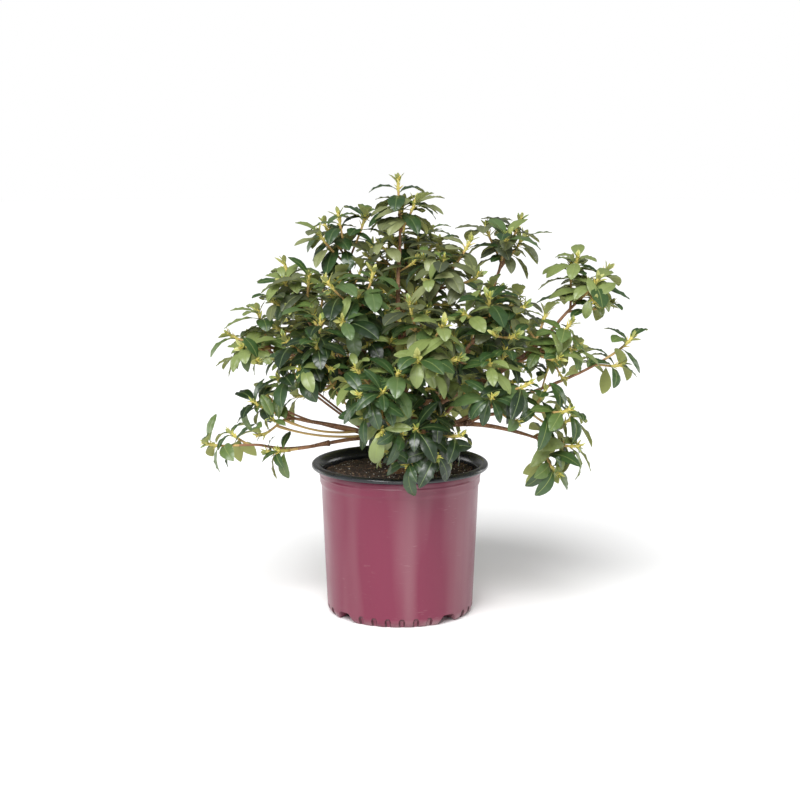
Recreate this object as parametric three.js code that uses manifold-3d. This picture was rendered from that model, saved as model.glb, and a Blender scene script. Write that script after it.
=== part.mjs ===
// An azalea shrub in leaf, in the round moulded nursery pot it is sold in.
// Millimetres, +Z up. The origin is the middle of the pot's flat underside and the front of the plant faces
// -Y. Azimuths are degrees round the trunk from the front, positive towards +X. Heights are above the floor.
import * as THREE from "three";
import { mergeVertices } from "three/addons/utils/BufferGeometryUtils.js";
import Module from "manifold-3d";

const wasm = await Module();
wasm.setup();

const DEG = Math.PI / 180;
const UP = new THREE.Vector3(0, 0, 1);
const SLANT = new THREE.Vector3(0.31, 0.22, 0.92); // a direction that no shoot takes
const GAP = 0.3; // clearance wherever one solid meets another

// The pot: a three gallon size, 241 high and 280 across the lip
const POT_HEIGHT = 241;
const POT_SIDES = 32;
const FOOT_RADIUS = 109.5;
const HEEL = { radius: 116.2, z: 13 }; // the rounded heel ends here and the tapered wall begins
const WALL_TOP = { radius: 124.6, z: 204 };
const COLLAR = { radius: 127, bottom: 212, top: 231 }; // the stiffening band under the lip
const FLOOR_THICKNESS = 3;
const CAVITY = { floor: 107, heel: 112.4, heelZ: 16, slope: 0.052 }; // radii, and radius gained with height
const LIP_RADIUS = 140;
const LINER_BOTTOM = 196;
const LINER_THICKNESS = 1.6;
const MIX_TOP = 224; // level of the potting mix

// The pot stands on four feet with a raised drainage bay between each two
const FEET = 4;
const FIRST_BAY = 41; // azimuth of the bay to the right of the front foot
const BAY = { halfWidthLow: 22, halfWidthHigh: 9, height: 14.5, from: 62, to: 130, wall: 2.2 };
const FLUTES_PER_FOOT = 6;
const FLUTE_STEP = 11; // degrees between two flutes
const FLUTE = { halfWidth: 5, spring: 9.5, height: 15.2, radiusLow: 107.8, radiusHigh: 114.2 };

// The trunk, short and flared at the foot, forks just above the mix
const TRUNK = { height: 88, lean: new THREE.Vector3(5, 4, 0), middle: 11, tip: 8.5, flare: 10 }; // radii
const TRUNK_SIDES = 8;
const TRUNK_STATIONS = [0, 0.06, 0.14, 0.24, 0.6, 1];
const FLARE_REACH = 16; // height over which the flare dies away
const BOUGH_SIDES = 5;
const BOUGH_STEP = 48; // length of one straight piece of a bough
const STEM_SIDES = 4;
const TWIG_SIDES = 3;
const MAIN_BOUGH = { foot: 5.4, tip: 2.7 };
const SIDE_BOUGH = { foot: 3.5, tip: 2.2 };

// Shoots, buds and leaves
const SEAT = 0.75; // a bough ends this share of a shoot's length short of the middle of its mass
const SHOOT = { foot: 2, neck: 1.7, first: 0.14, last: 0.36 }; // radii, and where side shoots leave the stem
const BUD = { length: 37, waist: 21, radius: 3.5, tip: 0.8 }; // the swollen, leafy end of a shoot
const LEAF = { length: 77, width: 0.5, widest: 0.54, thickness: 2, arch: 0.1 };
const WHORL = { places: 11, most: 6, low: 33, high: 14, lowRise: 0, highRise: 52, smallest: 0.6, sag: 0.55 };
const LIGHT = { height: 400, above: 0.9, below: 0.3 }; // how far whorls above and below this height turn up
const SMALLER = 0.76; // second size tried for a leaf that has no room
const GOLDEN_ANGLE = 137.5;
const SPACE_MARGIN = 0.4; // how far a leaf stays inside the space of its own mass
const LIMB_MARGIN = 1.2;
const SMOOTHING = [0.03, 0.05, 0.08, 0.12, 0.18]; // detail finer than this may be dropped from a fused solid
const POT_CLEAR = { radius: 148, height: 251 };

// Each row is a bough and the mass of foliage at its end. `from` and `at` say where the bough leaves its
// parent. Azimuth, reach and height place the middle of the mass, lift and rise are the bough's slopes at
// its two ends, shoot is the length of the mass's shoots, tips their number and fan how far they spread.
const COLUMNS = ["name", "from", "at", "azimuth", "reach", "height", "lift", "rise", "shoot", "tips", "fan"];
const ROWS = [
  ["leader", "trunk", 1, 90, 4, 642, 86, 86, 84, 3, 30],
  ["left_tall", "trunk", 0.84, -86, 88, 590, 44, 78, 84, 4, 38],
  ["right_tall", "trunk", 0.86, 89, 160, 582, 42, 78, 84, 4, 44],
  ["left_shoulder", "trunk", 0.62, -86, 172, 504, 50, 54, 84, 4, 54],
  ["right_shoulder", "trunk", 0.7, 91, 284, 512, 46, 54, 84, 4, 46],
  ["front", "trunk", 0.74, -8, 186, 380, 30, 16, 80, 4, 58],
  ["left_low", "trunk", 0.34, -78, 206, 324, 40, 12, 77, 4, 56],
  ["front_skirt", "trunk", 0.44, 16, 166, 312, 36, -8, 72, 4, 58],
  ["right_drooping", "trunk", 0.46, 78, 250, 280, 42, -14, 76, 4, 54],
  ["back", "trunk", 0.78, 176, 176, 450, 50, 36, 86, 4, 56],
  ["back_left_low", "trunk", 0.4, -138, 196, 352, 40, 10, 84, 4, 58],
  ["back_right_low", "trunk", 0.42, 142, 204, 350, 40, 10, 84, 4, 58],
  ["upper_middle", "leader", 0.44, 58, 84, 556, 54, 66, 82, 4, 50],
  ["upper_left", "leader", 0.34, -36, 110, 508, 50, 48, 84, 4, 56],
  ["back_top", "leader", 0.5, 170, 90, 558, 52, 62, 84, 4, 54],
  ["upper_right", "right_tall", 0.34, 58, 178, 492, 30, 46, 84, 4, 54],
  ["front_left", "left_tall", 0.34, -50, 180, 428, 30, 28, 84, 4, 56],
  ["front_upper", "front", 0.3, 12, 170, 456, 54, 36, 84, 4, 58],
  ["left", "left_shoulder", 0.36, -88, 224, 444, 26, 30, 80, 4, 54],
  ["right", "right_shoulder", 0.46, 75, 244, 434, 10, 26, 83, 4, 56],
  ["front_right", "right_drooping", 0.34, 44, 208, 386, 44, 22, 82, 4, 56],
  ["right_low", "right_drooping", 0.56, 68, 242, 348, 34, 14, 74, 3, 50],
  ["right_reaching", "right_drooping", 0.46, 88, 330, 408, 28, 26, 70, 2, 26],
  ["left_trailing", "left_low", 0.3, -87, 262, 280, 0, 14, 66, 2, 30],
  ["left_fallen", "left_trailing", 0.42, -74, 197, 267, 0, -6, 42, 2, 34],
  ["back_left", "left_shoulder", 0.46, -128, 194, 458, 36, 38, 86, 4, 56],
  ["back_right", "right_shoulder", 0.4, 132, 206, 456, 34, 38, 86, 4, 56],
  ["back_skirt", "back", 0.34, -176, 196, 346, 0, 6, 80, 4, 58],
];
const MASSES = ROWS.map((row) => Object.fromEntries(COLUMNS.map((column, i) => [column, row[i]])));

// A repeatable stream of numbers from 0 to 1
function seeded(seed) {
  let state = 7919 * (seed + 3);
  const draw = () => (state = (state * 48271) % 2147483647) / 2147483647;
  draw();
  return draw;
}

const mix = (a, b, t) => a + (b - a) * t;
const evenly = (steps) => Array.from({ length: steps + 1 }, (_, i) => i / steps);

function heading(azimuth, slope) {
  const a = azimuth * DEG;
  const s = slope * DEG;
  return new THREE.Vector3(Math.sin(a) * Math.cos(s), -Math.cos(a) * Math.cos(s), Math.sin(s));
}

// Geometry to a solid and back
function solidOf(geometry) {
  const bare = geometry.clone();
  bare.deleteAttribute("normal");
  bare.deleteAttribute("uv");
  const merged = mergeVertices(bare, 1e-4);
  return new wasm.Manifold(
    new wasm.Mesh({
      numProp: 3,
      vertProperties: merged.attributes.position.array,
      triVerts: new Uint32Array(merged.index.array),
    }),
  );
}

function geometryOf(solid) {
  const mesh = solid.getMesh();
  const geometry = new THREE.BufferGeometry();
  geometry.setAttribute("position", new THREE.BufferAttribute(mesh.vertProperties, 3));
  geometry.setIndex(new THREE.BufferAttribute(mesh.triVerts, 1));
  return geometry;
}

function shellOf(points, triangles) {
  const places = points.flatMap((p) => [p.x, p.y, p.z]);
  const geometry = new THREE.BufferGeometry();
  geometry.setAttribute("position", new THREE.Float32BufferAttribute(places, 3));
  geometry.setIndex(triangles.flat());
  return geometry;
}

// The main body of a solid, without any scrap that a cut left loose
function largest(solid) {
  return solid.decompose().sort((a, b) => b.volume() - a.volume())[0];
}

// A cut or a fusing can leave corners closer together than a thousandth of a millimetre. They are smoothed
// away, a little harder each time, until none are left.
function tidied(solid) {
  let smooth = solid.asOriginal();
  for (const tolerance of SMOOTHING) {
    smooth = largest(smooth.simplify(tolerance));
    const { vertProperties: place } = smooth.getMesh();
    const corners = new Set();
    for (let i = 0; i < place.length; i += 3)
      corners.add([0, 1, 2].map((k) => Math.round(place[i + k] * 1000)).join());
    if (corners.size === place.length / 3) break;
  }
  return smooth;
}

// A tapering limb along a curve with a ring at each station from 0 to 1, closed by flat ends. `grow` swells
// it on every side, for a clearance cut.
function limbOf({ curve, radiusAt, sides, stations }, grow = 0) {
  const frames = curve.computeFrenetFrames(200, false);
  const points = [];
  const triangles = [];
  const last = stations.length - 1;
  stations.forEach((t, i) => {
    const frame = Math.round(t * 200);
    const end = i === 0 ? -grow : i === last ? grow : 0;
    const centre = curve.getPointAt(t).addScaledVector(frames.tangents[frame], end);
    for (let k = 0; k < sides; k++) {
      const angle = (2 * Math.PI * k) / sides;
      const radius = radiusAt(t, angle) + grow;
      points.push(
        centre
          .clone()
          .addScaledVector(frames.normals[frame], radius * Math.cos(angle))
          .addScaledVector(frames.binormals[frame], radius * Math.sin(angle)),
      );
    }
  });
  for (let i = 0; i < last; i++)
    for (let k = 0; k < sides; k++) {
      const a = i * sides + k;
      const b = i * sides + ((k + 1) % sides);
      triangles.push([a, b, b + sides], [a, b + sides, a + sides]);
    }
  for (let k = 1; k < sides - 1; k++) {
    const top = last * sides;
    triangles.push([0, k + 1, k], [top, top + k, top + k + 1]);
  }
  return solidOf(shellOf(points, triangles));
}

// Turned parts of the pot, from a closed outline of [radius, height] pairs
function turned(outline) {
  const ring = outline.map(([r, z]) => new THREE.Vector2(r, z));
  const lathe = new THREE.LatheGeometry(ring, POT_SIDES);
  lathe.rotateX(Math.PI / 2);
  const solid = solidOf(lathe);
  if (solid.volume() > 0) return solid;
  const flipped = mergeVertices(lathe.deleteAttribute("normal").deleteAttribute("uv"), 1e-4);
  flipped.index.array.reverse();
  return solidOf(flipped);
}

const cavityRadius = (z) => CAVITY.heel + CAVITY.slope * (z - CAVITY.heelZ);
const linerOutside = (z) => cavityRadius(z) - GAP;
const linerInside = (z) => linerOutside(z) - LINER_THICKNESS;

// A block that runs out from the pot's axis at one azimuth, with its cross-section drawn across and up
function radialBlock(section, from, to, azimuth) {
  const extent = { depth: to - from, bevelEnabled: false };
  const block = new THREE.ExtrudeGeometry(new THREE.Shape(section), extent);
  block.rotateX(Math.PI / 2);
  block.translate(0, -from, 0);
  block.rotateZ(azimuth * DEG);
  return solidOf(block);
}

// One drainage bay: a sloped-sided recess, swollen by `grow` for the skin that lines it
function bay(azimuth, grow) {
  const section = [
    new THREE.Vector2(-BAY.halfWidthLow - grow, -5),
    new THREE.Vector2(BAY.halfWidthLow + grow, -5),
    new THREE.Vector2(BAY.halfWidthLow + grow, 0),
    new THREE.Vector2(BAY.halfWidthHigh + grow, BAY.height + grow),
    new THREE.Vector2(-BAY.halfWidthHigh - grow, BAY.height + grow),
    new THREE.Vector2(-BAY.halfWidthLow - grow, 0),
  ];
  return radialBlock(section, BAY.from - grow, BAY.to, azimuth);
}

function bays(grow) {
  const each = Array.from({ length: FEET }, (_, i) => bay(FIRST_BAY + (i * 360) / FEET, grow));
  return wasm.Manifold.union(each);
}

// One arched flute pressed into the heel of a foot, leaning back with the wall
function flute(azimuth) {
  const { halfWidth, spring, height, radiusLow, radiusHigh } = FLUTE;
  const section = [
    new THREE.Vector2(-halfWidth, -2),
    new THREE.Vector2(halfWidth, -2),
    new THREE.Vector2(halfWidth, spring),
    new THREE.Vector2(0, height),
    new THREE.Vector2(-halfWidth, spring),
  ];
  const block = new THREE.ExtrudeGeometry(new THREE.Shape(section), { depth: 9, bevelEnabled: false });
  block.rotateX(Math.PI / 2 + Math.atan2(radiusHigh - radiusLow, height));
  block.translate(0, -radiusLow, 0);
  block.rotateZ(azimuth * DEG);
  return solidOf(block);
}

function makePot() {
  const outside = turned([
    [0, 0],
    [FOOT_RADIUS, 0],
    [FOOT_RADIUS + 3.5, 3],
    [HEEL.radius, HEEL.z],
    [WALL_TOP.radius, WALL_TOP.z],
    [COLLAR.radius, COLLAR.bottom],
    [COLLAR.radius, COLLAR.top],
    [0, COLLAR.top],
  ]);
  const above = POT_HEIGHT;
  const cavity = turned([
    [0, FLOOR_THICKNESS],
    [CAVITY.floor, FLOOR_THICKNESS],
    [CAVITY.heel, CAVITY.heelZ],
    [cavityRadius(above), above],
    [0, above],
  ]);
  const flutes = [];
  for (let foot = 0; foot < FEET; foot++)
    for (let i = 0; i < FLUTES_PER_FOOT; i++) {
      const fromMiddle = (i - (FLUTES_PER_FOOT - 1) / 2) * FLUTE_STEP;
      flutes.push(flute(FIRST_BAY + (foot + 0.5) * (360 / FEET) + fromMiddle));
    }
  const hollows = wasm.Manifold.union([bays(0), ...flutes, cavity.subtract(bays(BAY.wall))]);
  return tidied(outside.subtract(hollows));
}

// The black inner layer of the pot, which shows above the mix and rolls over the wall as the lip
function makeLiner() {
  const shoulder = COLLAR.top + GAP;
  return turned([
    [linerInside(LINER_BOTTOM), LINER_BOTTOM],
    [linerOutside(LINER_BOTTOM), LINER_BOTTOM],
    [linerOutside(shoulder), shoulder],
    [COLLAR.radius + 0.5, shoulder],
    [COLLAR.radius + 4, shoulder + 5],
    [LIP_RADIUS - 3, shoulder + 2.6],
    [LIP_RADIUS - 0.4, shoulder + 2.4],
    [LIP_RADIUS, POT_HEIGHT - 3],
    [LIP_RADIUS - 3, POT_HEIGHT],
    [LIP_RADIUS - 9, POT_HEIGHT],
    [linerInside(shoulder), shoulder],
    [linerInside(LINER_BOTTOM), LINER_BOTTOM],
  ]);
}

function makeMix() {
  const body = turned([
    [0, FLOOR_THICKNESS + GAP],
    [CAVITY.floor - GAP, FLOOR_THICKNESS + GAP],
    [CAVITY.heel - GAP, CAVITY.heelZ],
    [cavityRadius(LINER_BOTTOM) - GAP, LINER_BOTTOM - GAP],
    [linerInside(LINER_BOTTOM) - GAP, LINER_BOTTOM - GAP],
    [linerInside(MIX_TOP) - GAP, MIX_TOP],
    [0, MIX_TOP],
  ]);
  return tidied(body.subtract(bays(BAY.wall + GAP)));
}

// The trunk's line and girth, flared where it enters the mix
const trunkCurve = new THREE.QuadraticBezierCurve3(
  new THREE.Vector3(0, 0, MIX_TOP + GAP),
  new THREE.Vector3(0, 0, MIX_TOP + TRUNK.height * 0.55),
  TRUNK.lean.clone().setZ(MIX_TOP + TRUNK.height),
);

function trunkRadius(t, angle = 0) {
  const fade = Math.max(0, 1 - (t * TRUNK.height) / FLARE_REACH) ** 2;
  const roots = 1 + 0.3 * Math.cos(4 * angle + 0.6);
  return mix(TRUNK.middle, TRUNK.tip, t) + TRUNK.flare * fade * roots;
}

const limbs = new Map([
  ["trunk", { curve: trunkCurve, radiusAt: trunkRadius, sides: TRUNK_SIDES, stations: TRUNK_STATIONS }],
]);

// A bough's line: it leaves its parent at its lift and reaches its mass at its rise
for (const mass of MASSES) {
  const parent = limbs.get(mass.from);
  const girth = mass.from === "trunk" ? MAIN_BOUGH : SIDE_BOUGH;
  const start = parent.curve.getPointAt(mass.at);
  const end = heading(mass.azimuth, mass.rise);
  const heart = heading(mass.azimuth, 0).multiplyScalar(mass.reach).setZ(mass.height);
  const hub = heart.clone().addScaledVector(end, -mass.shoot * SEAT);
  const span = hub.distanceTo(start);
  const away = Math.atan2(hub.x - start.x, -(hub.y - start.y)) / DEG;
  const leave = heading(away, mass.lift);
  mass.heart = heart;
  mass.hub = hub;
  mass.end = end;
  limbs.set(mass.name, {
    curve: new THREE.CubicBezierCurve3(
      start,
      start.clone().addScaledVector(leave, span * 0.38),
      hub.clone().addScaledVector(end, -span * 0.36),
      hub,
    ),
    radiusAt: (t) => mix(girth.foot, girth.tip, t ** 0.8),
    sides: BOUGH_SIDES,
    stations: evenly(Math.max(3, Math.round(span / BOUGH_STEP))),
    parent: mass.from,
    girth,
  });
}

// Points along every limb with its girth there, to keep leaves and twigs clear of the wood
const wood = [];
for (const [name, limb] of limbs) {
  const count = Math.ceil(limb.curve.getLength() / 5);
  for (let i = 0; i <= count; i++)
    wood.push({ name, point: limb.curve.getPointAt(i / count), radius: limb.radiusAt(i / count) });
}

function clearOfWood(points, halfWidth, own) {
  return points.every((p) =>
    wood.every((w) => w.name === own || p.distanceTo(w.point) > w.radius + halfWidth + LIMB_MARGIN),
  );
}

function clearOfPot(points) {
  return points.every((p) => Math.hypot(p.x, p.y) > POT_CLEAR.radius || p.z > POT_CLEAR.height);
}

// The space of a mass: everything nearer to its own middle than to that of any other
function insideSpace(points, mass) {
  return MASSES.every((other) => {
    if (other === mass) return true;
    const between = other.heart.clone().sub(mass.heart);
    const half = between.length() / 2;
    between.normalize();
    return points.every((p) => half - p.clone().sub(mass.heart).dot(between) > SPACE_MARGIN);
  });
}

// The line of one shoot to the tip of its bud. The first carries the stem of the mass on from its bough, and
// the others leave that stem and turn up towards their tips.
function shootCurve(mass, reach, index, attempt) {
  const spread = mass.fan * Math.sqrt((index + 0.35) / mass.tips) * DEG;
  const turn = (index * GOLDEN_ANGLE + mass.turn + attempt * 47) * DEG;
  const across = new THREE.Vector3().crossVectors(mass.end, UP).normalize();
  const over = new THREE.Vector3().crossVectors(across, mass.end);
  const aim = mass.end
    .clone()
    .multiplyScalar(Math.cos(spread))
    .addScaledVector(across, Math.sin(spread) * Math.cos(turn))
    .addScaledVector(over, Math.sin(spread) * Math.sin(turn));
  const share = index === 0 ? 1.1 : mass.tips < 4 ? 0.72 : 0.96;
  const length = mass.shoot * share * mix(0.88, 1.1, reach);
  const side = mass.stem && mass.stem.getPointAt(mix(SHOOT.last, SHOOT.first, index / mass.tips));
  const start = side || mass.hub.clone().addScaledVector(mass.end, GAP);
  const leave = side ? aim : mass.end;
  const tip = mass.hub.clone().addScaledVector(mass.end, mass.shoot * 0.25).addScaledVector(aim, length);
  const finish = aim.clone().addScaledVector(UP, 0.55).normalize();
  return new THREE.CubicBezierCurve3(
    start,
    start.clone().addScaledVector(leave, length * 0.3),
    tip.clone().addScaledVector(finish, -length * 0.3),
    tip,
  );
}

// A shoot's wood: a thin twig that swells where the leaves sit and ends in the point of its bud
function shootLimb(curve, foot, sides) {
  const length = curve.getLength();
  const neck = Math.max(0.2, 1 - BUD.length / length);
  const waist = Math.max(0.5, 1 - BUD.waist / length);
  const radiusAt = (t) => {
    if (t < neck) return mix(foot, SHOOT.neck, t / neck);
    if (t < waist) return mix(SHOOT.neck, BUD.radius, (t - neck) / (waist - neck));
    return mix(BUD.radius, BUD.tip, (t - waist) / (1 - waist));
  };
  return { curve, radiusAt, sides, stations: [0, neck / 2, neck, waist, 1] };
}

// A leaf of six faces: root, two edges, tip and a raised rib, arched along its length
function leafCorners(root, aim, face, length) {
  const side = new THREE.Vector3().crossVectors(aim, face).normalize();
  const up = new THREE.Vector3().crossVectors(side, aim);
  const at = (along, across, lift) => {
    const place = root.clone().addScaledVector(aim, along * length);
    return place.addScaledVector(side, across).addScaledVector(up, lift);
  };
  const half = (length * LEAF.width) / 2;
  const arch = LEAF.arch * length;
  return [
    at(0, 0, 0),
    at(LEAF.widest, half, arch),
    at(1, 0, 0),
    at(LEAF.widest, -half, arch),
    at(LEAF.widest, 0, arch + LEAF.thickness),
  ];
}

const LEAF_FACES = [
  [0, 1, 4],
  [1, 2, 4],
  [2, 3, 4],
  [3, 0, 4],
  [1, 0, 3],
  [2, 1, 3],
];

function leafFits(mass, corners, halfWidth) {
  const [root, , tip, , rib] = corners;
  const samples = [0.35, 0.7, 1].map((share) => root.clone().lerp(rib, share));
  samples.push(rib.clone().lerp(tip, 0.5), tip);
  return insideSpace(corners, mass) && clearOfWood(samples, halfWidth * 0.7) && clearOfPot(corners);
}

// The whorl of leaves round the end of a shoot, oldest and largest at the bottom. A leaf that would reach
// out of the mass's space or touch wood, pot or another shoot's leaves is tried once more at a smaller size,
// then skipped. Whorls turn up to the light, those high on the plant the most.
function whorl(mass, { curve, draw }, others) {
  const leaves = [];
  const length = curve.getLength();
  const turnUp = mass.height > LIGHT.height ? LIGHT.above : LIGHT.below;
  const first = draw() * 360;
  for (let i = 0; i < WHORL.places; i++) {
    const t = i / (WHORL.places - 1);
    const jitter = draw();
    const size = LEAF.length * mix(1, WHORL.smallest, t) * mix(0.86, 1.12, draw());
    if (leaves.length === WHORL.most) continue;
    const seat = 1 - mix(WHORL.low, WHORL.high, t) / length;
    const root = curve.getPointAt(seat);
    const axis = curve.getTangentAt(seat).addScaledVector(UP, turnUp).normalize();
    const across = new THREE.Vector3().crossVectors(axis, SLANT).normalize();
    const over = new THREE.Vector3().crossVectors(axis, across);
    const turn = (first + i * GOLDEN_ANGLE) * DEG;
    const rise = (mix(WHORL.lowRise, WHORL.highRise, t) + (jitter - 0.5) * 18) * DEG;
    const aim = across
      .multiplyScalar(Math.cos(rise) * Math.cos(turn))
      .addScaledVector(over, Math.cos(rise) * Math.sin(turn))
      .addScaledVector(axis, Math.sin(rise))
      .addScaledVector(UP, -WHORL.sag * (1 - axis.z) * (1 - 0.5 * t))
      .normalize();
    const face = axis.clone().addScaledVector(UP, 0.8);
    for (const scale of [1, SMALLER]) {
      const corners = leafCorners(root, aim, face, size * scale);
      if (!leafFits(mass, corners, (size * scale * LEAF.width) / 2)) continue;
      const leaf = solidOf(shellOf(corners, LEAF_FACES));
      if (!leaf.intersect(others).isEmpty()) continue;
      leaves.push(leaf);
      break;
    }
  }
  return leaves;
}

function fits(mass, curve) {
  const points = [0.3, 0.5, 0.7, 0.85, 1].map((t) => curve.getPointAt(t));
  return insideSpace(points, mass) && clearOfWood(points, BUD.radius, mass.name) && clearOfPot(points);
}

// A mass of foliage: one stem, its shoots, their buds and their whorls, fused
function makeMass(mass, index) {
  const draw = seeded(index);
  mass.turn = draw() * 360;
  const girth = limbs.get(mass.name).girth;
  const shoots = [];
  for (let i = 0; i < mass.tips; i++) {
    const reach = draw();
    for (let attempt = 0; attempt < 6; attempt++) {
      const curve = shootCurve(mass, reach, i, attempt);
      if (!fits(mass, curve)) continue;
      const [foot, sides] = mass.stem ? [SHOOT.foot, TWIG_SIDES] : [girth.tip, STEM_SIDES];
      const solid = limbOf(shootLimb(curve, foot, sides));
      shoots.push({ curve, solid, leaves: [], draw: seeded(1000 + index * 16 + i) });
      mass.stem ??= curve;
      break;
    }
  }
  for (const shoot of shoots) {
    const others = shoots.filter((other) => other !== shoot);
    const taken = others.flatMap((other) => [other.solid, ...other.leaves]);
    shoot.leaves = whorl(mass, shoot, wasm.Manifold.union(taken));
  }
  return tidied(wasm.Manifold.union(shoots.flatMap((shoot) => [shoot.solid, ...shoot.leaves])));
}

// Colours and roughness of the finishes
const WINE_PLASTIC = [0x993f58, 0.4];
const BLACK_PLASTIC = [0x1d1f21, 0.45];
const LOOSE_MIX = [0x3d2c20, 0.95];
const BARK = [0x7a5440, 0.85];
const BRONZE_LEAF = [0x475138, 0.5];
const DARK_LEAF = [0x385235, 0.5];
const FRESH_LEAF = [0x4a6b35, 0.55];

const plant = new THREE.Group();

function add(name, solid, [color, roughness]) {
  const finish = new THREE.MeshStandardMaterial({ color, roughness, metalness: 0 });
  const mesh = new THREE.Mesh(geometryOf(solid), finish);
  mesh.name = name;
  plant.add(mesh);
}

add("pot", makePot(), WINE_PLASTIC);
add("pot_liner", makeLiner(), BLACK_PLASTIC);
add("potting_mix", makeMix(), LOOSE_MIX);

for (const [name, limb] of limbs) {
  const solid = limbOf(limb);
  if (!limb.parent) add(name, solid, BARK);
  else add(`bough_${name}`, tidied(solid.subtract(limbOf(limbs.get(limb.parent), GAP))), BARK);
}

// Upright shoots are tinged with bronze, and those that reach out or lie low are a fresher green
function leafFinish({ rise, reach, height }) {
  if (rise > 60) return BRONZE_LEAF;
  return reach > 230 || height < 300 ? FRESH_LEAF : DARK_LEAF;
}

MASSES.forEach((mass, index) => add(`leaves_${mass.name}`, makeMass(mass, index), leafFinish(mass)));

export default plant;
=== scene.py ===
from collections import namedtuple
from math import comb
from types import SimpleNamespace

import bmesh
import bpy
import numpy as np
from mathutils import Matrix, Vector, noise


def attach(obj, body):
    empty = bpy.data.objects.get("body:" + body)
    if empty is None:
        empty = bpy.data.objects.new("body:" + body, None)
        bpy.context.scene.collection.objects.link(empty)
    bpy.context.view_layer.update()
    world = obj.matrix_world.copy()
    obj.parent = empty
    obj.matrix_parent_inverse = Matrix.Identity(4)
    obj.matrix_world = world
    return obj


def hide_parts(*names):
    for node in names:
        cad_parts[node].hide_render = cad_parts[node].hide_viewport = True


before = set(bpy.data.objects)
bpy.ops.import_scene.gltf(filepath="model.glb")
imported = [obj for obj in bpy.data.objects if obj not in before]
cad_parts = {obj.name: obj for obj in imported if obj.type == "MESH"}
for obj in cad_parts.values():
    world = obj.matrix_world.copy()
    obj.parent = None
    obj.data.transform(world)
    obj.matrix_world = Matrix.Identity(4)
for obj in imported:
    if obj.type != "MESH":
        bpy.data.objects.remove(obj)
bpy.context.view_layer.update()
scene = bpy.context.scene

# The studio is plain. The camera stands three metres in front of the plant and looks a little down on it. The
# room is white with a pale floor, and is lit by a broad soft light from above, three panels round the front
# and two behind.
CAMERA_PLACE = (0, -3.0, 0.8746)
CAMERA_DIP = 10.116  # degrees below level
CAMERA_LENS = 86.96  # for a sensor 36 wide
ROOM_LIGHT = 0.31  # what the white walls give; to the camera they are plain white
SKYLIGHT = 4.0
SKYLIGHT_WIDTH = 42  # degrees of the sky that it fills
SKYLIGHT_FROM = (-0.25, -0.95, 1)
FLOOR_RADIUS = 9.0

camera = bpy.data.objects.new("camera", bpy.data.cameras.new("camera"))
camera.data.lens = CAMERA_LENS
camera.data.sensor_width = 36
camera.location = CAMERA_PLACE
camera.rotation_euler = (np.radians(90 - CAMERA_DIP), 0, 0)
scene.collection.objects.link(camera)
scene.camera = camera
scene.view_settings.view_transform = "Standard"


def soft_panel(name, place, aim, width, power):
    light = bpy.data.lights.new(name, "AREA")
    light.shape = "DISK"
    light.size = width
    light.energy = power
    panel = bpy.data.objects.new(name, light)
    panel.location = place
    panel.rotation_euler = (Vector(aim) - Vector(place)).to_track_quat("-Z", "Y").to_euler()
    scene.collection.objects.link(panel)


skylight = bpy.data.objects.new("skylight", bpy.data.lights.new("skylight", "SUN"))
skylight.data.energy = SKYLIGHT
skylight.data.angle = np.radians(SKYLIGHT_WIDTH)
skylight.rotation_euler = Vector(SKYLIGHT_FROM).to_track_quat("Z", "Y").to_euler()
scene.collection.objects.link(skylight)
soft_panel("panel_left", (-2.2, -1.6, 1.2), (0, 0, 0.4), 1.2, 5)
soft_panel("panel_right", (2.3, -1.2, 1.2), (0, 0, 0.4), 1.2, 4)
soft_panel("panel_front", (0.45, -2.1, 0.4), (0, 0, 0.15), 0.7, 6)
soft_panel("edge_left", (-2.4, 1.3, 0.7), (0, 0, 0.2), 1.4, 16)
soft_panel("edge_right", (2.4, 1.3, 0.7), (0, 0, 0.2), 1.4, 16)


def feed(tree, value, socket):
    """Gives an input a value of its own, or links it to the output that makes the value."""
    if isinstance(value, bpy.types.NodeSocket):
        tree.links.new(value, socket)
    else:
        socket.default_value = value


def add_node(tree, kind, options=(), **inputs):
    """A new node with its options set and its inputs fed, where _ stands for a space in an input's name."""
    node = tree.nodes.new(kind)
    for option, choice in dict(options).items():
        setattr(node, option, choice)
    for name, value in inputs.items():
        feed(tree, value, node.inputs[name.replace("_", " ")])
    return node


world = bpy.data.worlds.new("white_room")
world.use_nodes = True
room = world.node_tree
seen = add_node(room, "ShaderNodeLightPath").outputs["Is Camera Ray"]
brightness = add_node(room, "ShaderNodeMapRange", Value=seen, To_Min=ROOM_LIGHT).outputs["Result"]
feed(room, (1, 1, 1, 1), room.nodes["Background"].inputs["Color"])
feed(room, brightness, room.nodes["Background"].inputs["Strength"])
scene.world = world


def new_material(name, roughness):
    """A material, with its tree of nodes and its shader."""
    material = bpy.data.materials.new(name)
    material.use_nodes = True
    shader = material.node_tree.nodes["Principled BSDF"]
    shader.inputs["Roughness"].default_value = roughness
    return material, material.node_tree, shader


def plain_finish(name, colour, roughness, sheen=0.5):
    """A material of one colour, for the floor, and for wood and leaves whose tints are dealt out by spray."""
    material, _, shader = new_material(name, roughness)
    shader.inputs["Base Color"].default_value = (*colour, 1)
    shader.inputs["Specular IOR Level"].default_value = sheen
    return material


floor_mesh = bpy.data.meshes.new("floor")
disc = bmesh.new()
bmesh.ops.create_circle(disc, cap_ends=True, radius=FLOOR_RADIUS, segments=96)
disc.to_mesh(floor_mesh)
disc.free()
floor = bpy.data.objects.new("floor", floor_mesh)
floor_mesh.materials.append(plain_finish("pale_floor", (0.94, 0.94, 0.94), 0.9))
scene.collection.objects.link(floor)

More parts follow.
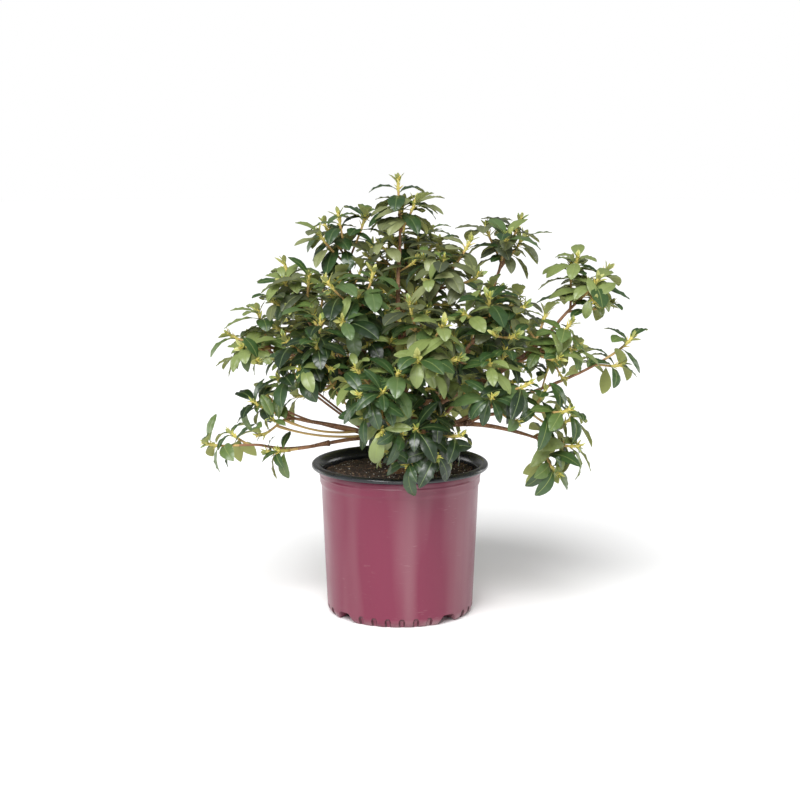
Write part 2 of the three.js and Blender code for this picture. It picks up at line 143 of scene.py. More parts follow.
# The pot is wine-red polypropylene, moulded in one thin wall: four feet with a raised drainage bay between
# each two, six arched flutes pressed into each foot, a rounded heel, and a stiffening collar below the lip.
# It carries no print.
GAP = 0.0003
FOOT_RADIUS = 0.1095
HEEL_RADIUS = 0.1162
HEEL_TOP = 0.013
WALL_TOP_RADIUS = 0.1246
WALL_TOP = 0.204
COLLAR_RADIUS = 0.127
COLLAR_BOTTOM = 0.212
COLLAR_TOP = 0.231
BEAD_HEIGHT = 0.2215  # of the raised line round the collar
BEAD_RELIEF = 0.0009
BEAD_HALF = 0.0014
FLOOR_THICKNESS = 0.003
CAVITY_FLOOR_RADIUS = 0.107
CAVITY_HEEL_RADIUS = 0.1124
CAVITY_HEEL = 0.016
CAVITY_SLOPE = 0.052  # radius gained per unit of height
FEET = 4
FIRST_BAY = 41  # azimuth of the bay to the right of the front foot
BAY_FROM = 0.062  # radius at which a bay begins
BAY_HALF_LOW = 0.022
BAY_HALF_HIGH = 0.009
BAY_HEIGHT = 0.0145
BAY_WALL = 0.0022
FLUTES_PER_FOOT = 6
FLUTE_STEP = 11
FLUTE_HALF = 0.005
FLUTE_SPRING = 0.0095
FLUTE_HEIGHT = 0.0152
FLUTE_RADIUS_LOW = 0.1078
FLUTE_RADIUS_HIGH = 0.1142
FLUTE_EDGE = 0.0027  # width of the rounded edge of a flute
# The mesh has close lines at these distances to each side of a flute's and a bay's middle, rings at these
# radii across the underside and across the floor inside, and close rings up to just over the flutes.
FLUTE_LINES = [0.001, 0.0026, 0.0034, 0.0042, 0.005, 0.0058]
BAY_LINES = [0.001, 0.005, 0.008, 0.0095, 0.0112, 0.013, 0.0148, 0.0166, 0.0184, 0.0202, 0.022]
UNDERSIDE_RINGS = [0.072, 0.082, 0.092, 0.102]
FLOOR_RINGS = [0.068, 0.076, 0.086, 0.096]
CLOSE_RINGS_TOP = 0.0175

bay_azimuths = [FIRST_BAY + i * 360 / FEET for i in range(FEET)]
flute_azimuths = [
    FIRST_BAY + (foot + 0.5) * 360 / FEET + (i - (FLUTES_PER_FOOT - 1) / 2) * FLUTE_STEP
    for foot in range(FEET)
    for i in range(FLUTES_PER_FOOT)
]


def eased(t):
    t = np.clip(t, 0, 1)
    return t * t * (3 - 2 * t)


def mix(a, b, t):
    return a + (b - a) * t


def across(azimuth, centre, radius):
    """Distance sideways from a centre line on the pot, in metres."""
    return np.radians((azimuth - centre + 180) % 360 - 180) * radius


def pot_radius(z):
    heel = (HEEL_RADIUS - FOOT_RADIUS) * (1 - (1 - np.clip(z / HEEL_TOP, 0, 1)) ** 2.2)
    wall = (WALL_TOP_RADIUS - HEEL_RADIUS) * np.clip((z - HEEL_TOP) / (WALL_TOP - HEEL_TOP), 0, 1)
    step = (COLLAR_RADIUS - WALL_TOP_RADIUS) * eased((z - WALL_TOP) / (COLLAR_BOTTOM - WALL_TOP))
    bead = BEAD_RELIEF * np.exp(-(((z - BEAD_HEIGHT) / BEAD_HALF) ** 2))
    return FOOT_RADIUS + heel + wall + step + bead


def cavity_radius(z):
    return CAVITY_HEEL_RADIUS + CAVITY_SLOPE * (z - CAVITY_HEEL)


def bay_lift(azimuth, radius):
    """Height of the pot's underside, raised in each bay, which runs straight in from the wall."""
    lift = np.zeros_like(azimuth)
    for centre in bay_azimuths:
        inside = (BAY_HALF_LOW - np.abs(across(azimuth, centre, radius))) / (BAY_HALF_LOW - BAY_HALF_HIGH)
        lift = np.maximum(lift, BAY_HEIGHT * eased(inside))
    return lift


def cavity_floor(azimuth, radius):
    """Height of the pot's floor inside, which steps up over each bay."""
    lifted = bay_lift(azimuth, radius)
    return np.maximum(FLOOR_THICKNESS, np.where(lifted > 0, lifted + BAY_WALL, 0))


def flute_share(azimuth, z):
    """How far a place is pressed in: 0 on the wall, 1 in a flute, and between the two on its rounded edge."""
    share = np.zeros_like(azimuth)
    rise = np.maximum(0, z - FLUTE_SPRING) * FLUTE_HALF / (FLUTE_HEIGHT - FLUTE_SPRING)
    for centre in flute_azimuths:
        inside = FLUTE_HALF - np.hypot(across(azimuth, centre, HEEL_RADIUS), rise)
        share = np.maximum(share, eased(inside / FLUTE_EDGE))
    return share


def flute_depth(azimuth, z):
    back = mix(FLUTE_RADIUS_LOW, FLUTE_RADIUS_HIGH, z / FLUTE_HEIGHT)
    return flute_share(azimuth, z) * np.maximum(0, pot_radius(z) - back)


def close_lines(centres, offsets):
    turns = [side * np.degrees(offset / HEEL_RADIUS) for offset in offsets for side in (-1, 1)]
    return [(centre + turn) % 360 for centre in centres for turn in turns]


def pot_azimuths():
    """Azimuths of the mesh lines, close together where a flute or a bay begins and wide apart elsewhere."""
    lines = sorted(close_lines(flute_azimuths, FLUTE_LINES) + close_lines(bay_azimuths, BAY_LINES))
    for regular in np.arange(0, 360, 2.5):
        if min(abs((regular - line + 180) % 360 - 180) for line in lines) > 0.8:
            lines.append(regular)
    return np.array(sorted(lines))


def ring(azimuth, radius, z):
    a = np.radians(azimuth)
    r = np.broadcast_to(radius, a.shape)
    return np.stack([r * np.sin(a), -r * np.cos(a), np.broadcast_to(z, a.shape)], axis=-1)


def mesh_of(name, points, corners, sizes):
    """A mesh from its points, the corners of its faces in one row, and how many corners each face has."""
    mesh = bpy.data.meshes.new(name)
    mesh.vertices.add(len(points))
    mesh.vertices.foreach_set("co", np.asarray(points, np.float32).ravel())
    mesh.loops.add(len(corners))
    mesh.loops.foreach_set("vertex_index", np.asarray(corners, np.int32))
    mesh.polygons.add(len(sizes))
    mesh.polygons.foreach_set("loop_start", np.concatenate([[0], np.cumsum(sizes)[:-1]]).astype(np.int32))
    mesh.polygons.foreach_set("use_smooth", np.ones(len(sizes), bool))
    mesh.update(calc_edges=True)
    return mesh


def skinned(rings, first_pole, last_pole):
    """Points, corners and face sizes of a closed skin over rings, with a pole at each end."""
    rings = np.asarray(rings)
    rows, count = rings.shape[:2]
    points = np.concatenate([rings.reshape(-1, 3), [first_pole, last_pole]])
    k = np.arange(count)
    following = (k + 1) % count
    quad = np.stack([k, following, following + count, k + count], axis=-1)
    quads = [quad + row * count for row in range(rows - 1)]
    top = (rows - 1) * count
    first_fan = np.stack([following, k, np.full(count, rows * count)], axis=-1)
    last_fan = np.stack([k + top, following + top, np.full(count, rows * count + 1)], axis=-1)
    corners = np.concatenate([np.concatenate(quads).ravel(), first_fan.ravel(), last_fan.ravel()])
    sizes = np.concatenate([np.full((rows - 1) * count, 4), np.full(2 * count, 3)])
    return points, corners, sizes


def new_piece(name, mesh, materials, nodes=()):
    """Puts a finished mesh in the scene as a piece of the plant, in place of the named solids."""
    piece = bpy.data.objects.new(name, mesh)
    for material in materials:
        mesh.materials.append(material)
    scene.collection.objects.link(piece)
    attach(piece, "root")
    if nodes:
        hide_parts(*nodes)


azimuths = pot_azimuths()
lift = bay_lift(azimuths, HEEL_RADIUS)
pot_rings = [ring(azimuths, 0.06, 0), ring(azimuths, BAY_FROM - 0.0012, 0)]
pot_rings.append(ring(azimuths, BAY_FROM, bay_lift(azimuths, BAY_FROM) * 0.9))
for radius in [BAY_FROM + 0.0008, *UNDERSIDE_RINGS]:
    pot_rings.append(ring(azimuths, radius, bay_lift(azimuths, radius)))
pot_rings.append(ring(azimuths, pot_radius(lift) - 0.0012, lift))
for share in np.linspace(0.02, 1, 24):
    z = mix(lift + 0.0002, CLOSE_RINGS_TOP, share)
    pot_rings.append(ring(azimuths, pot_radius(z) - flute_depth(azimuths, z), z))
wall_heights = np.linspace(0.02, WALL_TOP, 16)
step_heights = np.linspace(WALL_TOP + 0.0015, COLLAR_BOTTOM + 0.001, 7)
bead_heights = np.linspace(BEAD_HEIGHT - 0.004, BEAD_HEIGHT + 0.004, 11)
for z in [*wall_heights, *step_heights, *bead_heights, COLLAR_TOP - 0.0014]:
    pot_rings.append(ring(azimuths, pot_radius(z), z))
pot_rings.append(ring(azimuths, COLLAR_RADIUS - 0.0003, COLLAR_TOP - 0.0004))
pot_rings.append(ring(azimuths, COLLAR_RADIUS - 0.001, COLLAR_TOP))
for z in [COLLAR_TOP, 0.12, CAVITY_HEEL]:
    inner = np.maximum(z, lift + BAY_WALL)
    pot_rings.append(ring(azimuths, cavity_radius(inner), inner))
for radius in [CAVITY_FLOOR_RADIUS, *reversed(FLOOR_RINGS), BAY_FROM - BAY_WALL]:
    pot_rings.append(ring(azimuths, radius, cavity_floor(azimuths, radius)))
pot_rings.append(ring(azimuths, BAY_FROM - BAY_WALL - 0.001, FLOOR_THICKNESS))
pot_mesh = mesh_of("pot_wall", *skinned(pot_rings, (0, 0, 0), (0, 0, FLOOR_THICKNESS)))
# The faces on the rounded edge of each flute get a darker copy of the wine plastic: painted shade where the
# edge of the hollow would be shadowed.
flute_edge_painted_shade = np.zeros(len(pot_mesh.polygons), np.int32)  # 1 on the darker, rounded edge of a flute
for face in pot_mesh.polygons:
    x, y, z = face.center
    azimuth = np.degrees(np.arctan2(x, -y))
    if z < FLUTE_HEIGHT and np.hypot(x, y) > FOOT_RADIUS - 0.004:
        flute_edge_painted_shade[face.index] = 0.03 < flute_share(azimuth, z) < 0.97
pot_mesh.polygons.foreach_set("material_index", flute_edge_painted_shade)


def marks(tree, scale, detail, stretch=(1, 1, 1), roughness=0.5):
    """A mottled pattern over a piece, drawn out along each axis where the stretch is under 1."""
    place = add_node(tree, "ShaderNodeTexCoord").outputs["Object"]
    drawn = add_node(tree, "ShaderNodeMapping", Vector=place, Scale=stretch).outputs["Vector"]
    texture = add_node(
        tree, "ShaderNodeTexNoise", Vector=drawn, Scale=scale, Detail=detail, Roughness=roughness
    )
    return texture.outputs["Fac"]


def ranged(tree, value, low, high, to_low=0.0, to_high=1.0):
    """A value that runs from low to high, turned into one between two other bounds."""
    node = add_node(
        tree, "ShaderNodeMapRange", Value=value, From_Min=low, From_Max=high, To_Min=to_low, To_Max=to_high
    )
    return node.outputs["Result"]


def combined(tree, operation, a, b):
    node = add_node(tree, "ShaderNodeMath", {"operation": operation})
    feed(tree, a, node.inputs[0])
    feed(tree, b, node.inputs[1])
    return node.outputs["Value"]


def blended(tree, share, a, b, mode="MIX"):
    """Two colours blended by a share."""
    node = add_node(tree, "ShaderNodeMix", {"data_type": "RGBA", "blend_type": mode}, Factor=share)
    feed(tree, a, node.inputs[6])
    feed(tree, b, node.inputs[7])
    return node.outputs[2]


def raised(tree, shader, height, distance, strength=1.0):
    """Gives a shader the fine relief of a pattern."""
    bump = add_node(tree, "ShaderNodeBump", Strength=strength, Distance=distance, Height=height)
    feed(tree, bump.outputs["Normal"], shader.inputs["Normal"])


def new_group(name, tree_kind, given, made):
    """An empty node group with the inputs that it is given and the outputs that it makes."""
    group = bpy.data.node_groups.new(name, tree_kind)
    for direction, sockets in (("INPUT", given), ("OUTPUT", made)):
        for socket, kind in sockets.items():
            group.interface.new_socket(socket, in_out=direction, socket_type=f"NodeSocket{kind}")
    return group, group.nodes.new("NodeGroupInput").outputs, group.nodes.new("NodeGroupOutput").inputs


def moulded_surface():
    """The skin of moulded plastic: faint flow marks, fine pebbling, scuffs, dust low down, and pale vertical
    streaks of painted sheen in the dust colour.
    """
    tree, given, result = new_group(
        "moulded_surface",
        "ShaderNodeTree",
        {"Colour": "Color", "Dust Colour": "Color", "Dust Top": "Float", "Polish": "Float", "Wear": "Float"},
        {"Colour": "Color", "Roughness": "Float", "Height": "Float"},
    )
    flow = marks(tree, 9, 3, (1, 1, 0.25))
    sheen_streaks = marks(tree, 16, 2, (1, 1, 0.1))
    pebbles = marks(tree, 900, 2)
    smudge = marks(tree, 26, 6)
    scratch = marks(tree, 60, 4, (1, 1, 9))
    place = add_node(tree, "ShaderNodeTexCoord").outputs["Object"]
    height = add_node(tree, "ShaderNodeSeparateXYZ", Vector=place).outputs["Z"]
    low_down = ranged(tree, height, 0.0, given["Dust Top"], 1.0, 0.0)
    dust = combined(tree, "MULTIPLY", low_down, ranged(tree, smudge, 0.42, 0.72))
    scuff = combined(tree, "MULTIPLY", ranged(tree, scratch, 0.62, 0.75), ranged(tree, smudge, 0.5, 0.65))
    scuff = combined(tree, "MULTIPLY", scuff, given["Wear"])
    streaks = ranged(tree, flow, 0.3, 0.7, 0.0, 0.5)
    colour = blended(tree, streaks, given["Colour"], (0.86, 0.84, 0.86, 1), "MULTIPLY")
    # Pale vertical streaks blended toward the dust colour are painted sheen: bands of reflected light drawn
    # into the colour.
    painted_sheen = ranged(tree, sheen_streaks, 0.45, 0.75, 0.0, 0.22)
    for cover in [painted_sheen, combined(tree, "MULTIPLY", dust, 0.65), combined(tree, "MULTIPLY", scuff, 0.35)]:
        colour = blended(tree, cover, colour, given["Dust Colour"])
    rough = combined(tree, "ADD", given["Polish"], ranged(tree, smudge, 0.35, 0.7, 0.0, 0.1))
    dirt = combined(tree, "MULTIPLY", combined(tree, "ADD", dust, scuff), 0.25)
    waves = combined(tree, "MULTIPLY", flow, 0.6)
    feed(tree, colour, result["Colour"])
    feed(tree, combined(tree, "ADD", rough, dirt), result["Roughness"])
    feed(tree, combined(tree, "ADD", waves, combined(tree, "MULTIPLY", pebbles, 0.12)), result["Height"])
    return tree


plastic_skin = moulded_surface()


def moulded_plastic(name, colour, dust, dust_top, polish, wear, relief):
    material, tree, shader = new_material(name, polish)
    # The dust colour also tints the painted sheen streaks of the skin.
    skin = add_node(
        tree, "ShaderNodeGroup", {"node_tree": plastic_skin},
        Colour=(*colour, 1), Dust_Colour=(*dust, 1), Dust_Top=dust_top, Polish=polish, Wear=wear,
    )
    feed(tree, skin.outputs["Colour"], shader.inputs["Base Color"])
    feed(tree, skin.outputs["Roughness"], shader.inputs["Roughness"])
    feed(tree, 0.12, shader.inputs["Coat Weight"])
    feed(tree, 0.2, shader.inputs["Coat Roughness"])
    raised(tree, shader, skin.outputs["Height"], relief, 0.5)
    return material


wine_plastic = moulded_plastic(
    "wine_red_plastic", (0.155, 0.012, 0.042), (0.4, 0.3, 0.3), dust_top=0.014, polish=0.3, wear=1.0,
    relief=0.0016,
)
# A darker copy of the wine plastic, painted shade for the rounded edges of the flutes.
wine_painted_shade = moulded_plastic(
    "wine_red_painted_shade", (0.06, 0.004, 0.014), (0.14, 0.08, 0.08), dust_top=0.005, polish=0.4, wear=0.5,
    relief=0.0016,
)
new_piece("pot_wall", pot_mesh, [wine_plastic, wine_painted_shade], ["pot"])

# The black inner layer of the pot shows above the mix and rolls over the collar as the lip. It is the same
# plastic, turned over a ring tool, so its edge is round all the way.
LIP_RADIUS = 0.14
POT_HEIGHT = 0.241
LINER_BOTTOM = 0.196
LINER_THICKNESS = 0.0016
LINER_SIDES = 160


def liner_inside(z):
    return cavity_radius(z) - GAP - LINER_THICKNESS


def rounded(outline, rounds):
    """An open outline with its corners cut again and again, which leaves it smooth."""
    outline = np.array(outline)
    for _ in range(rounds):
        first = mix(outline[:-1], outline[1:], 0.25)
        second = mix(outline[:-1], outline[1:], 0.75)
        between = np.stack([first, second], axis=1).reshape(-1, 2)
        outline = np.concatenate([outline[:1], between[1:-1], outline[-1:]])
    return outline


shoulder = COLLAR_TOP + GAP
lip = [
    (cavity_radius(shoulder) - GAP, shoulder),
    (COLLAR_RADIUS + 0.0005, shoulder),
    (COLLAR_RADIUS + 0.004, shoulder + 0.005),
    (LIP_RADIUS - 0.003, shoulder + 0.0026),
    (LIP_RADIUS - 0.0002, shoulder + 0.0024),
    (LIP_RADIUS + 0.0002, POT_HEIGHT - 0.003),
    (LIP_RADIUS - 0.003, POT_HEIGHT + 0.0002),
    (LIP_RADIUS - 0.0095, POT_HEIGHT + 0.0002),
    (liner_inside(shoulder), shoulder),
    (liner_inside(0.222), 0.222),
]
liner_foot = cavity_radius(LINER_BOTTOM) - GAP
outline = [(liner_foot, LINER_BOTTOM), *rounded(lip, 3), (liner_inside(LINER_BOTTOM), LINER_BOTTOM)]
round_about = np.arange(LINER_SIDES) * 360 / LINER_SIDES
liner_rings = np.array([ring(round_about, r, z) for r, z in outline])
rows = len(outline)
k = np.arange(LINER_SIDES)
after = (k + 1) % LINER_SIDES
row_from = np.arange(rows)[:, None] * LINER_SIDES
row_to = (np.arange(rows)[:, None] + 1) % rows * LINER_SIDES
liner_faces = np.stack([row_from + k, row_from + after, row_to + after, row_to + k], axis=-1).reshape(-1, 4)
liner_mesh = mesh_of("pot_lip", liner_rings.reshape(-1, 3), liner_faces.ravel(), np.full(len(liner_faces), 4))
black_plastic = moulded_plastic(
    "black_plastic", (0.012, 0.014, 0.017), (0.12, 0.13, 0.14), dust_top=0.01, polish=0.2, wear=0.6,
    relief=0.001,
)
new_piece("pot_lip", liner_mesh, [black_plastic], ["pot_liner"])

# The pot is filled with potting mix: fine peat and composted bark, with coarser bark flakes, crumbs and white
# grains of perlite lying on it. It is mounded a little round the trunk and has settled at the wall.
MIX_TOP = 0.224
MIX_RINGS = 44
MIX_SIDES = 128
SMALLEST_GRAIN = 0.5  # share of a grain's full size


def mix_height(x, y):
    far = np.hypot(x, y) / 0.12
    lumps = noise.fractal(Vector((x * 55, y * 55, 3.1)), 0.8, 2.1, 5) * 0.0022
    return MIX_TOP + 0.0016 * (1 - far * far) + lumps - 0.001


mix_azimuths = np.arange(MIX_SIDES) * 360 / MIX_SIDES
mix_edge = liner_inside(MIX_TOP) - GAP
mix_rings = [ring(mix_azimuths, BAY_FROM - BAY_WALL - 0.002, FLOOR_THICKNESS + GAP)]
for radius in [BAY_FROM - BAY_WALL, *FLOOR_RINGS, CAVITY_FLOOR_RADIUS - 2 * GAP]:
    mix_rings.append(ring(mix_azimuths, radius, cavity_floor(mix_azimuths, radius) + GAP))
mix_rings.append(ring(mix_azimuths, CAVITY_HEEL_RADIUS - 2 * GAP, CAVITY_HEEL + BAY_WALL))
mix_rings.append(ring(mix_azimuths, cavity_radius(LINER_BOTTOM) - GAP, LINER_BOTTOM - GAP))
mix_rings.append(ring(mix_azimuths, liner_inside(LINER_BOTTOM) - GAP, LINER_BOTTOM - GAP))
for radius in np.linspace(mix_edge, 0.003, MIX_RINGS):
    level = ring(mix_azimuths, radius, 0.0)
    level[:, 2] = [mix_height(x, y) for x, y in level[:, :2]]
    mix_rings.append(level)
mix_mesh = mesh_of("mix_body", *skinned(mix_rings, (0, 0, FLOOR_THICKNESS + GAP), (0, 0, mix_height(0, 0))))


def two_tone(tree, pattern, low, high, dark, light):
    """A colour that runs from dark to light while a pattern runs from low to high."""
    ramp = add_node(tree, "ShaderNodeValToRGB", Fac=pattern)
    for stop, position, colour in zip(ramp.color_ramp.elements, (low, high), (dark, light)):
        stop.position = position
        stop.color = (*colour, 1)
    return ramp.outputs["Color"]


def speckled(name, dark, light, scale, roughness, relief):
    """A finish mottled between two colours, with a fine rough relief, for the mix and what lies on it."""
    material, tree, shader = new_material(name, roughness)
    pattern = marks(tree, scale, 6, roughness=0.7)
    feed(tree, two_tone(tree, pattern, 0.36, 0.66, dark, light), shader.inputs["Base Color"])
    raised(tree, shader, pattern, relief)
    return material


peat = speckled("peat", (0.016, 0.012, 0.01), (0.1, 0.072, 0.052), 420, 0.95, 0.0012)
new_piece("mix_body", mix_mesh, [peat], ["potting_mix"])


def grain(size, roughly, seed):
    """One grain for the scattering: a faceted lump of the given size, bent out of true by its seed."""
    mesh = bpy.data.meshes.new("grain")
    lump = bmesh.new()
    bmesh.ops.create_icosphere(lump, subdivisions=1, radius=0.5)
    for corner in lump.verts:
        push = noise.noise(corner.co * 2.3 + Vector((seed, seed * 0.7, 0)))
        corner.co *= 1 + roughly * push
        corner.co = Vector([c * s for c, s in zip(corner.co, size)])
    lump.to_mesh(mesh)
    lump.free()
    return bpy.data.objects.new("grain", mesh)


def scatter_tree():
    """Scatters copies of one grain over a surface, turned and sized by a fixed seed."""
    tree, given, result = new_group(
        "scattered_grains",
        "GeometryNodeTree",
        {
            "Surface": "Geometry",
            "Grain": "Object",
            "Grains per Square Metre": "Float",
            "Seed": "Int",
            "Smallest": "Float",
            "Largest": "Float",
            "Tilt": "Float",
            "Finish": "Material",
        },
        {"Grains": "Geometry"},
    )
    density, seed, tilt = given["Grains per Square Metre"], given["Seed"], given["Tilt"]
    points = add_node(
        tree, "GeometryNodeDistributePointsOnFaces", Mesh=given["Surface"], Density=density, Seed=seed
    )
    shape = add_node(tree, "GeometryNodeObjectInfo", Object=given["Grain"])
    other_way = combined(tree, "MULTIPLY", tilt, -1)
    lower = add_node(tree, "ShaderNodeCombineXYZ", X=other_way, Y=other_way).outputs["Vector"]
    upper = add_node(tree, "ShaderNodeCombineXYZ", X=tilt, Y=tilt, Z=2 * np.pi).outputs["Vector"]
    vector = {"data_type": "FLOAT_VECTOR"}
    turn = add_node(tree, "FunctionNodeRandomValue", vector, Min=lower, Max=upper, Seed=seed)
    girth = add_node(tree, "FunctionNodeRandomValue", Seed=seed)
    smallest, largest = [socket for socket in girth.inputs if socket.enabled][:2]
    feed(tree, given["Smallest"], smallest)
    feed(tree, given["Largest"], largest)
    placed = add_node(
        tree, "GeometryNodeInstanceOnPoints", Points=points.outputs["Points"],
        Instance=shape.outputs["Geometry"], Rotation=turn.outputs["Value"],
        Scale=next(socket for socket in girth.outputs if socket.enabled),
    )
    real = add_node(tree, "GeometryNodeRealizeInstances", Geometry=placed.outputs["Instances"])
    painted = add_node(
        tree, "GeometryNodeSetMaterial", Geometry=real.outputs["Geometry"], Material=given["Finish"]
    )
    feed(tree, painted.outputs["Geometry"], result["Grains"])
    return tree


grain_tree = scatter_tree()
bed_rings = mix_rings[-(MIX_RINGS - 1) :]
bed_points, bed_corners, bed_sizes = skinned(bed_rings, (0, 0, MIX_TOP - 0.01), (0, 0, mix_height(0, 0)))
without_underside = len(bed_sizes) - 2 * MIX_SIDES
bed_corners = np.concatenate([bed_corners[: without_underside * 4], bed_corners[-3 * MIX_SIDES :]])
bed_sizes = np.concatenate([bed_sizes[:without_underside], bed_sizes[-MIX_SIDES:]])
bed_mesh = mesh_of("mix_surface", bed_points, bed_corners, bed_sizes)


def scattered(name, shape, finish, density, seed, largest, tilt):
    """Grains of one kind over the surface of the mix, as one plain mesh."""
    bed = bpy.data.objects.new(name, bed_mesh)
    scene.collection.objects.link(bed)
    scene.collection.objects.link(shape)
    modifier = bed.modifiers.new("grains", "NODES")
    modifier.node_group = grain_tree
    values = {
        "Grain": shape,
        "Grains per Square Metre": float(density),
        "Seed": seed,
        "Smallest": SMALLEST_GRAIN,
        "Largest": largest,
        "Tilt": tilt,
        "Finish": finish,
    }
    for socket in grain_tree.interface.items_tree:
        if socket.name in values:
            modifier[socket.identifier] = values[socket.name]
    bpy.context.view_layer.update()
    mesh = bpy.data.meshes.new_from_object(bed.evaluated_get(bpy.context.evaluated_depsgraph_get()))
    bpy.data.objects.remove(bed)
    bpy.data.objects.remove(shape)
    mesh.materials.clear()
    new_piece(name, mesh, [finish])


bark_chip = speckled("bark_chip", (0.045, 0.028, 0.019), (0.22, 0.14, 0.09), 300, 0.85, 0.0006)
pale_chip = speckled("pale_chip", (0.24, 0.16, 0.1), (0.5, 0.37, 0.24), 300, 0.85, 0.0006)
crumb = speckled("peat_crumb", (0.025, 0.018, 0.014), (0.14, 0.1, 0.07), 500, 0.95, 0.0006)
perlite = speckled("perlite_grain", (0.62, 0.6, 0.55), (0.8, 0.79, 0.75), 700, 0.8, 0.0004)
# Each row is a kind of grain: the size and roughness of one, the finish, the number on each square metre, the
# largest share of its size, and how far it tilts.
GRAINS = [
    ("bark_flakes", (0.009, 0.0045, 0.0018), 0.5, bark_chip, 5200, 1.25, 0.5),
    ("bark_lumps", (0.006, 0.005, 0.004), 0.6, bark_chip, 5200, 1.2, 1.0),
    ("pale_flakes", (0.008, 0.003, 0.0015), 0.5, pale_chip, 2200, 1.1, 0.6),
    ("peat_crumbs", (0.003, 0.0026, 0.0022), 0.6, crumb, 45000, 1.3, 3.1),
    ("perlite_grains", (0.0026, 0.0024, 0.0022), 0.4, perlite, 5200, 1.2, 3.1),
]
for number, (name, size, roughly, finish, density, largest, tilt) in enumerate(GRAINS, start=1):
    scattered(name, grain(size, roughly, number), finish, density, 10 + number, largest, tilt)

# The trunk is short and flared at the foot, and forks just above the mix. From it and from one another the
# boughs rise to their masses of foliage, each one tapering limb with thin, cracked, reddish-brown bark.
TRUNK_HEIGHT = 0.088
TRUNK_LEAN = (0.005, 0.004)
TRUNK_MIDDLE = 0.011
TRUNK_TIP = 0.0085
TRUNK_FLARE = 0.01
FLARE_REACH = 0.016  # height over which the flare dies away
MAIN_BOUGH = (0.0054, 0.0027)  # radius at the foot and at the tip
SIDE_BOUGH = (0.0035, 0.0022)
SEAT = 0.75  # a bough ends this share of a shoot's length short of the middle of its mass
MILLIMETRE = 0.001
UP = np.array([0.0, 0.0, 1.0])

# Each row is a bough and the mass of foliage at its end: the limb that it leaves and where, the azimuth,
# reach and height of the middle of the mass in degrees and millimetres, the bough's slopes at its two ends,
# and the length, number and spread of the shoots.
ROWS = [
    ("leader", "trunk", 1, 90, 4, 642, 86, 86, 84, 3, 30),
    ("left_tall", "trunk", 0.84, -86, 88, 590, 44, 78, 84, 4, 38),
    ("right_tall", "trunk", 0.86, 89, 160, 582, 42, 78, 84, 4, 44),
    ("left_shoulder", "trunk", 0.62, -86, 172, 504, 50, 54, 84, 4, 54),
    ("right_shoulder", "trunk", 0.7, 91, 284, 512, 46, 54, 84, 4, 46),
    ("front", "trunk", 0.74, -8, 186, 380, 30, 16, 80, 4, 58),
    ("left_low", "trunk", 0.34, -78, 206, 324, 40, 12, 77, 4, 56),
    ("front_skirt", "trunk", 0.44, 16, 166, 312, 36, -8, 72, 4, 58),
    ("right_drooping", "trunk", 0.46, 78, 250, 280, 42, -14, 76, 4, 54),
    ("back", "trunk", 0.78, 176, 176, 450, 50, 36, 86, 4, 56),
    ("back_left_low", "trunk", 0.4, -138, 196, 352, 40, 10, 84, 4, 58),
    ("back_right_low", "trunk", 0.42, 142, 204, 350, 40, 10, 84, 4, 58),
    ("upper_middle", "leader", 0.44, 58, 84, 556, 54, 66, 82, 4, 50),
    ("upper_left", "leader", 0.34, -36, 110, 508, 50, 48, 84, 4, 56),
    ("back_top", "leader", 0.5, 170, 90, 558, 52, 62, 84, 4, 54),
    ("upper_right", "right_tall", 0.34, 58, 178, 492, 30, 46, 84, 4, 54),
    ("front_left", "left_tall", 0.34, -50, 180, 428, 30, 28, 84, 4, 56),
    ("front_upper", "front", 0.3, 12, 170, 456, 54, 36, 84, 4, 58),
    ("left", "left_shoulder", 0.36, -88, 224, 444, 26, 30, 80, 4, 54),
    ("right", "right_shoulder", 0.46, 75, 244, 434, 10, 26, 83, 4, 56),
    ("front_right", "right_drooping", 0.34, 44, 208, 386, 44, 22, 82, 4, 56),
    ("right_low", "right_drooping", 0.56, 68, 242, 348, 34, 14, 74, 3, 50),
    ("right_reaching", "right_drooping", 0.46, 88, 330, 408, 28, 26, 70, 2, 26),
    ("left_trailing", "left_low", 0.3, -87, 262, 280, 0, 14, 66, 2, 30),
    ("left_fallen", "left_trailing", 0.42, -74, 197, 267, 0, -6, 42, 2, 34),
    ("back_left", "left_shoulder", 0.46, -128, 194, 458, 36, 38, 86, 4, 56),
    ("back_right", "right_shoulder", 0.4, 132, 206, 456, 34, 38, 86, 4, 56),
    ("back_skirt", "back", 0.34, -176, 196, 346, 0, 6, 80, 4, 58),
]


def unit(v):
    return v / np.linalg.norm(v)


def heading(azimuth, slope):
    a, s = np.radians(azimuth), np.radians(slope)
    return np.array([np.sin(a) * np.cos(s), -np.cos(a) * np.cos(s), np.sin(s)])


class Line:
    """A limb's line, a Bezier curve that is measured along its length: shares run from 0 at its foot to 1."""

    def __init__(self, *pulls):
        self.pulls = np.array(pulls, float)
        self.steps = np.linspace(0, 1, 201)
        places = self.blend(self.pulls, self.steps)
        walked = np.linalg.norm(np.diff(places, axis=0), axis=1)
        self.walked = np.concatenate([[0], np.cumsum(walked)])
        self.length = self.walked[-1]

    def blend(self, pulls, t):
        n = len(pulls) - 1
        t = np.asarray(t, float)[..., None]
        return sum(comb(n, i) * (1 - t) ** (n - i) * t**i * pull for i, pull in enumerate(pulls))

    def at(self, share):
        return self.blend(self.pulls, np.interp(np.asarray(share) * self.length, self.walked, self.steps))

    def way(self, share):
        t = np.interp(np.asarray(share) * self.length, self.walked, self.steps)
        slope = self.blend(np.diff(self.pulls, axis=0), t)
        return slope / np.linalg.norm(slope, axis=-1, keepdims=True)


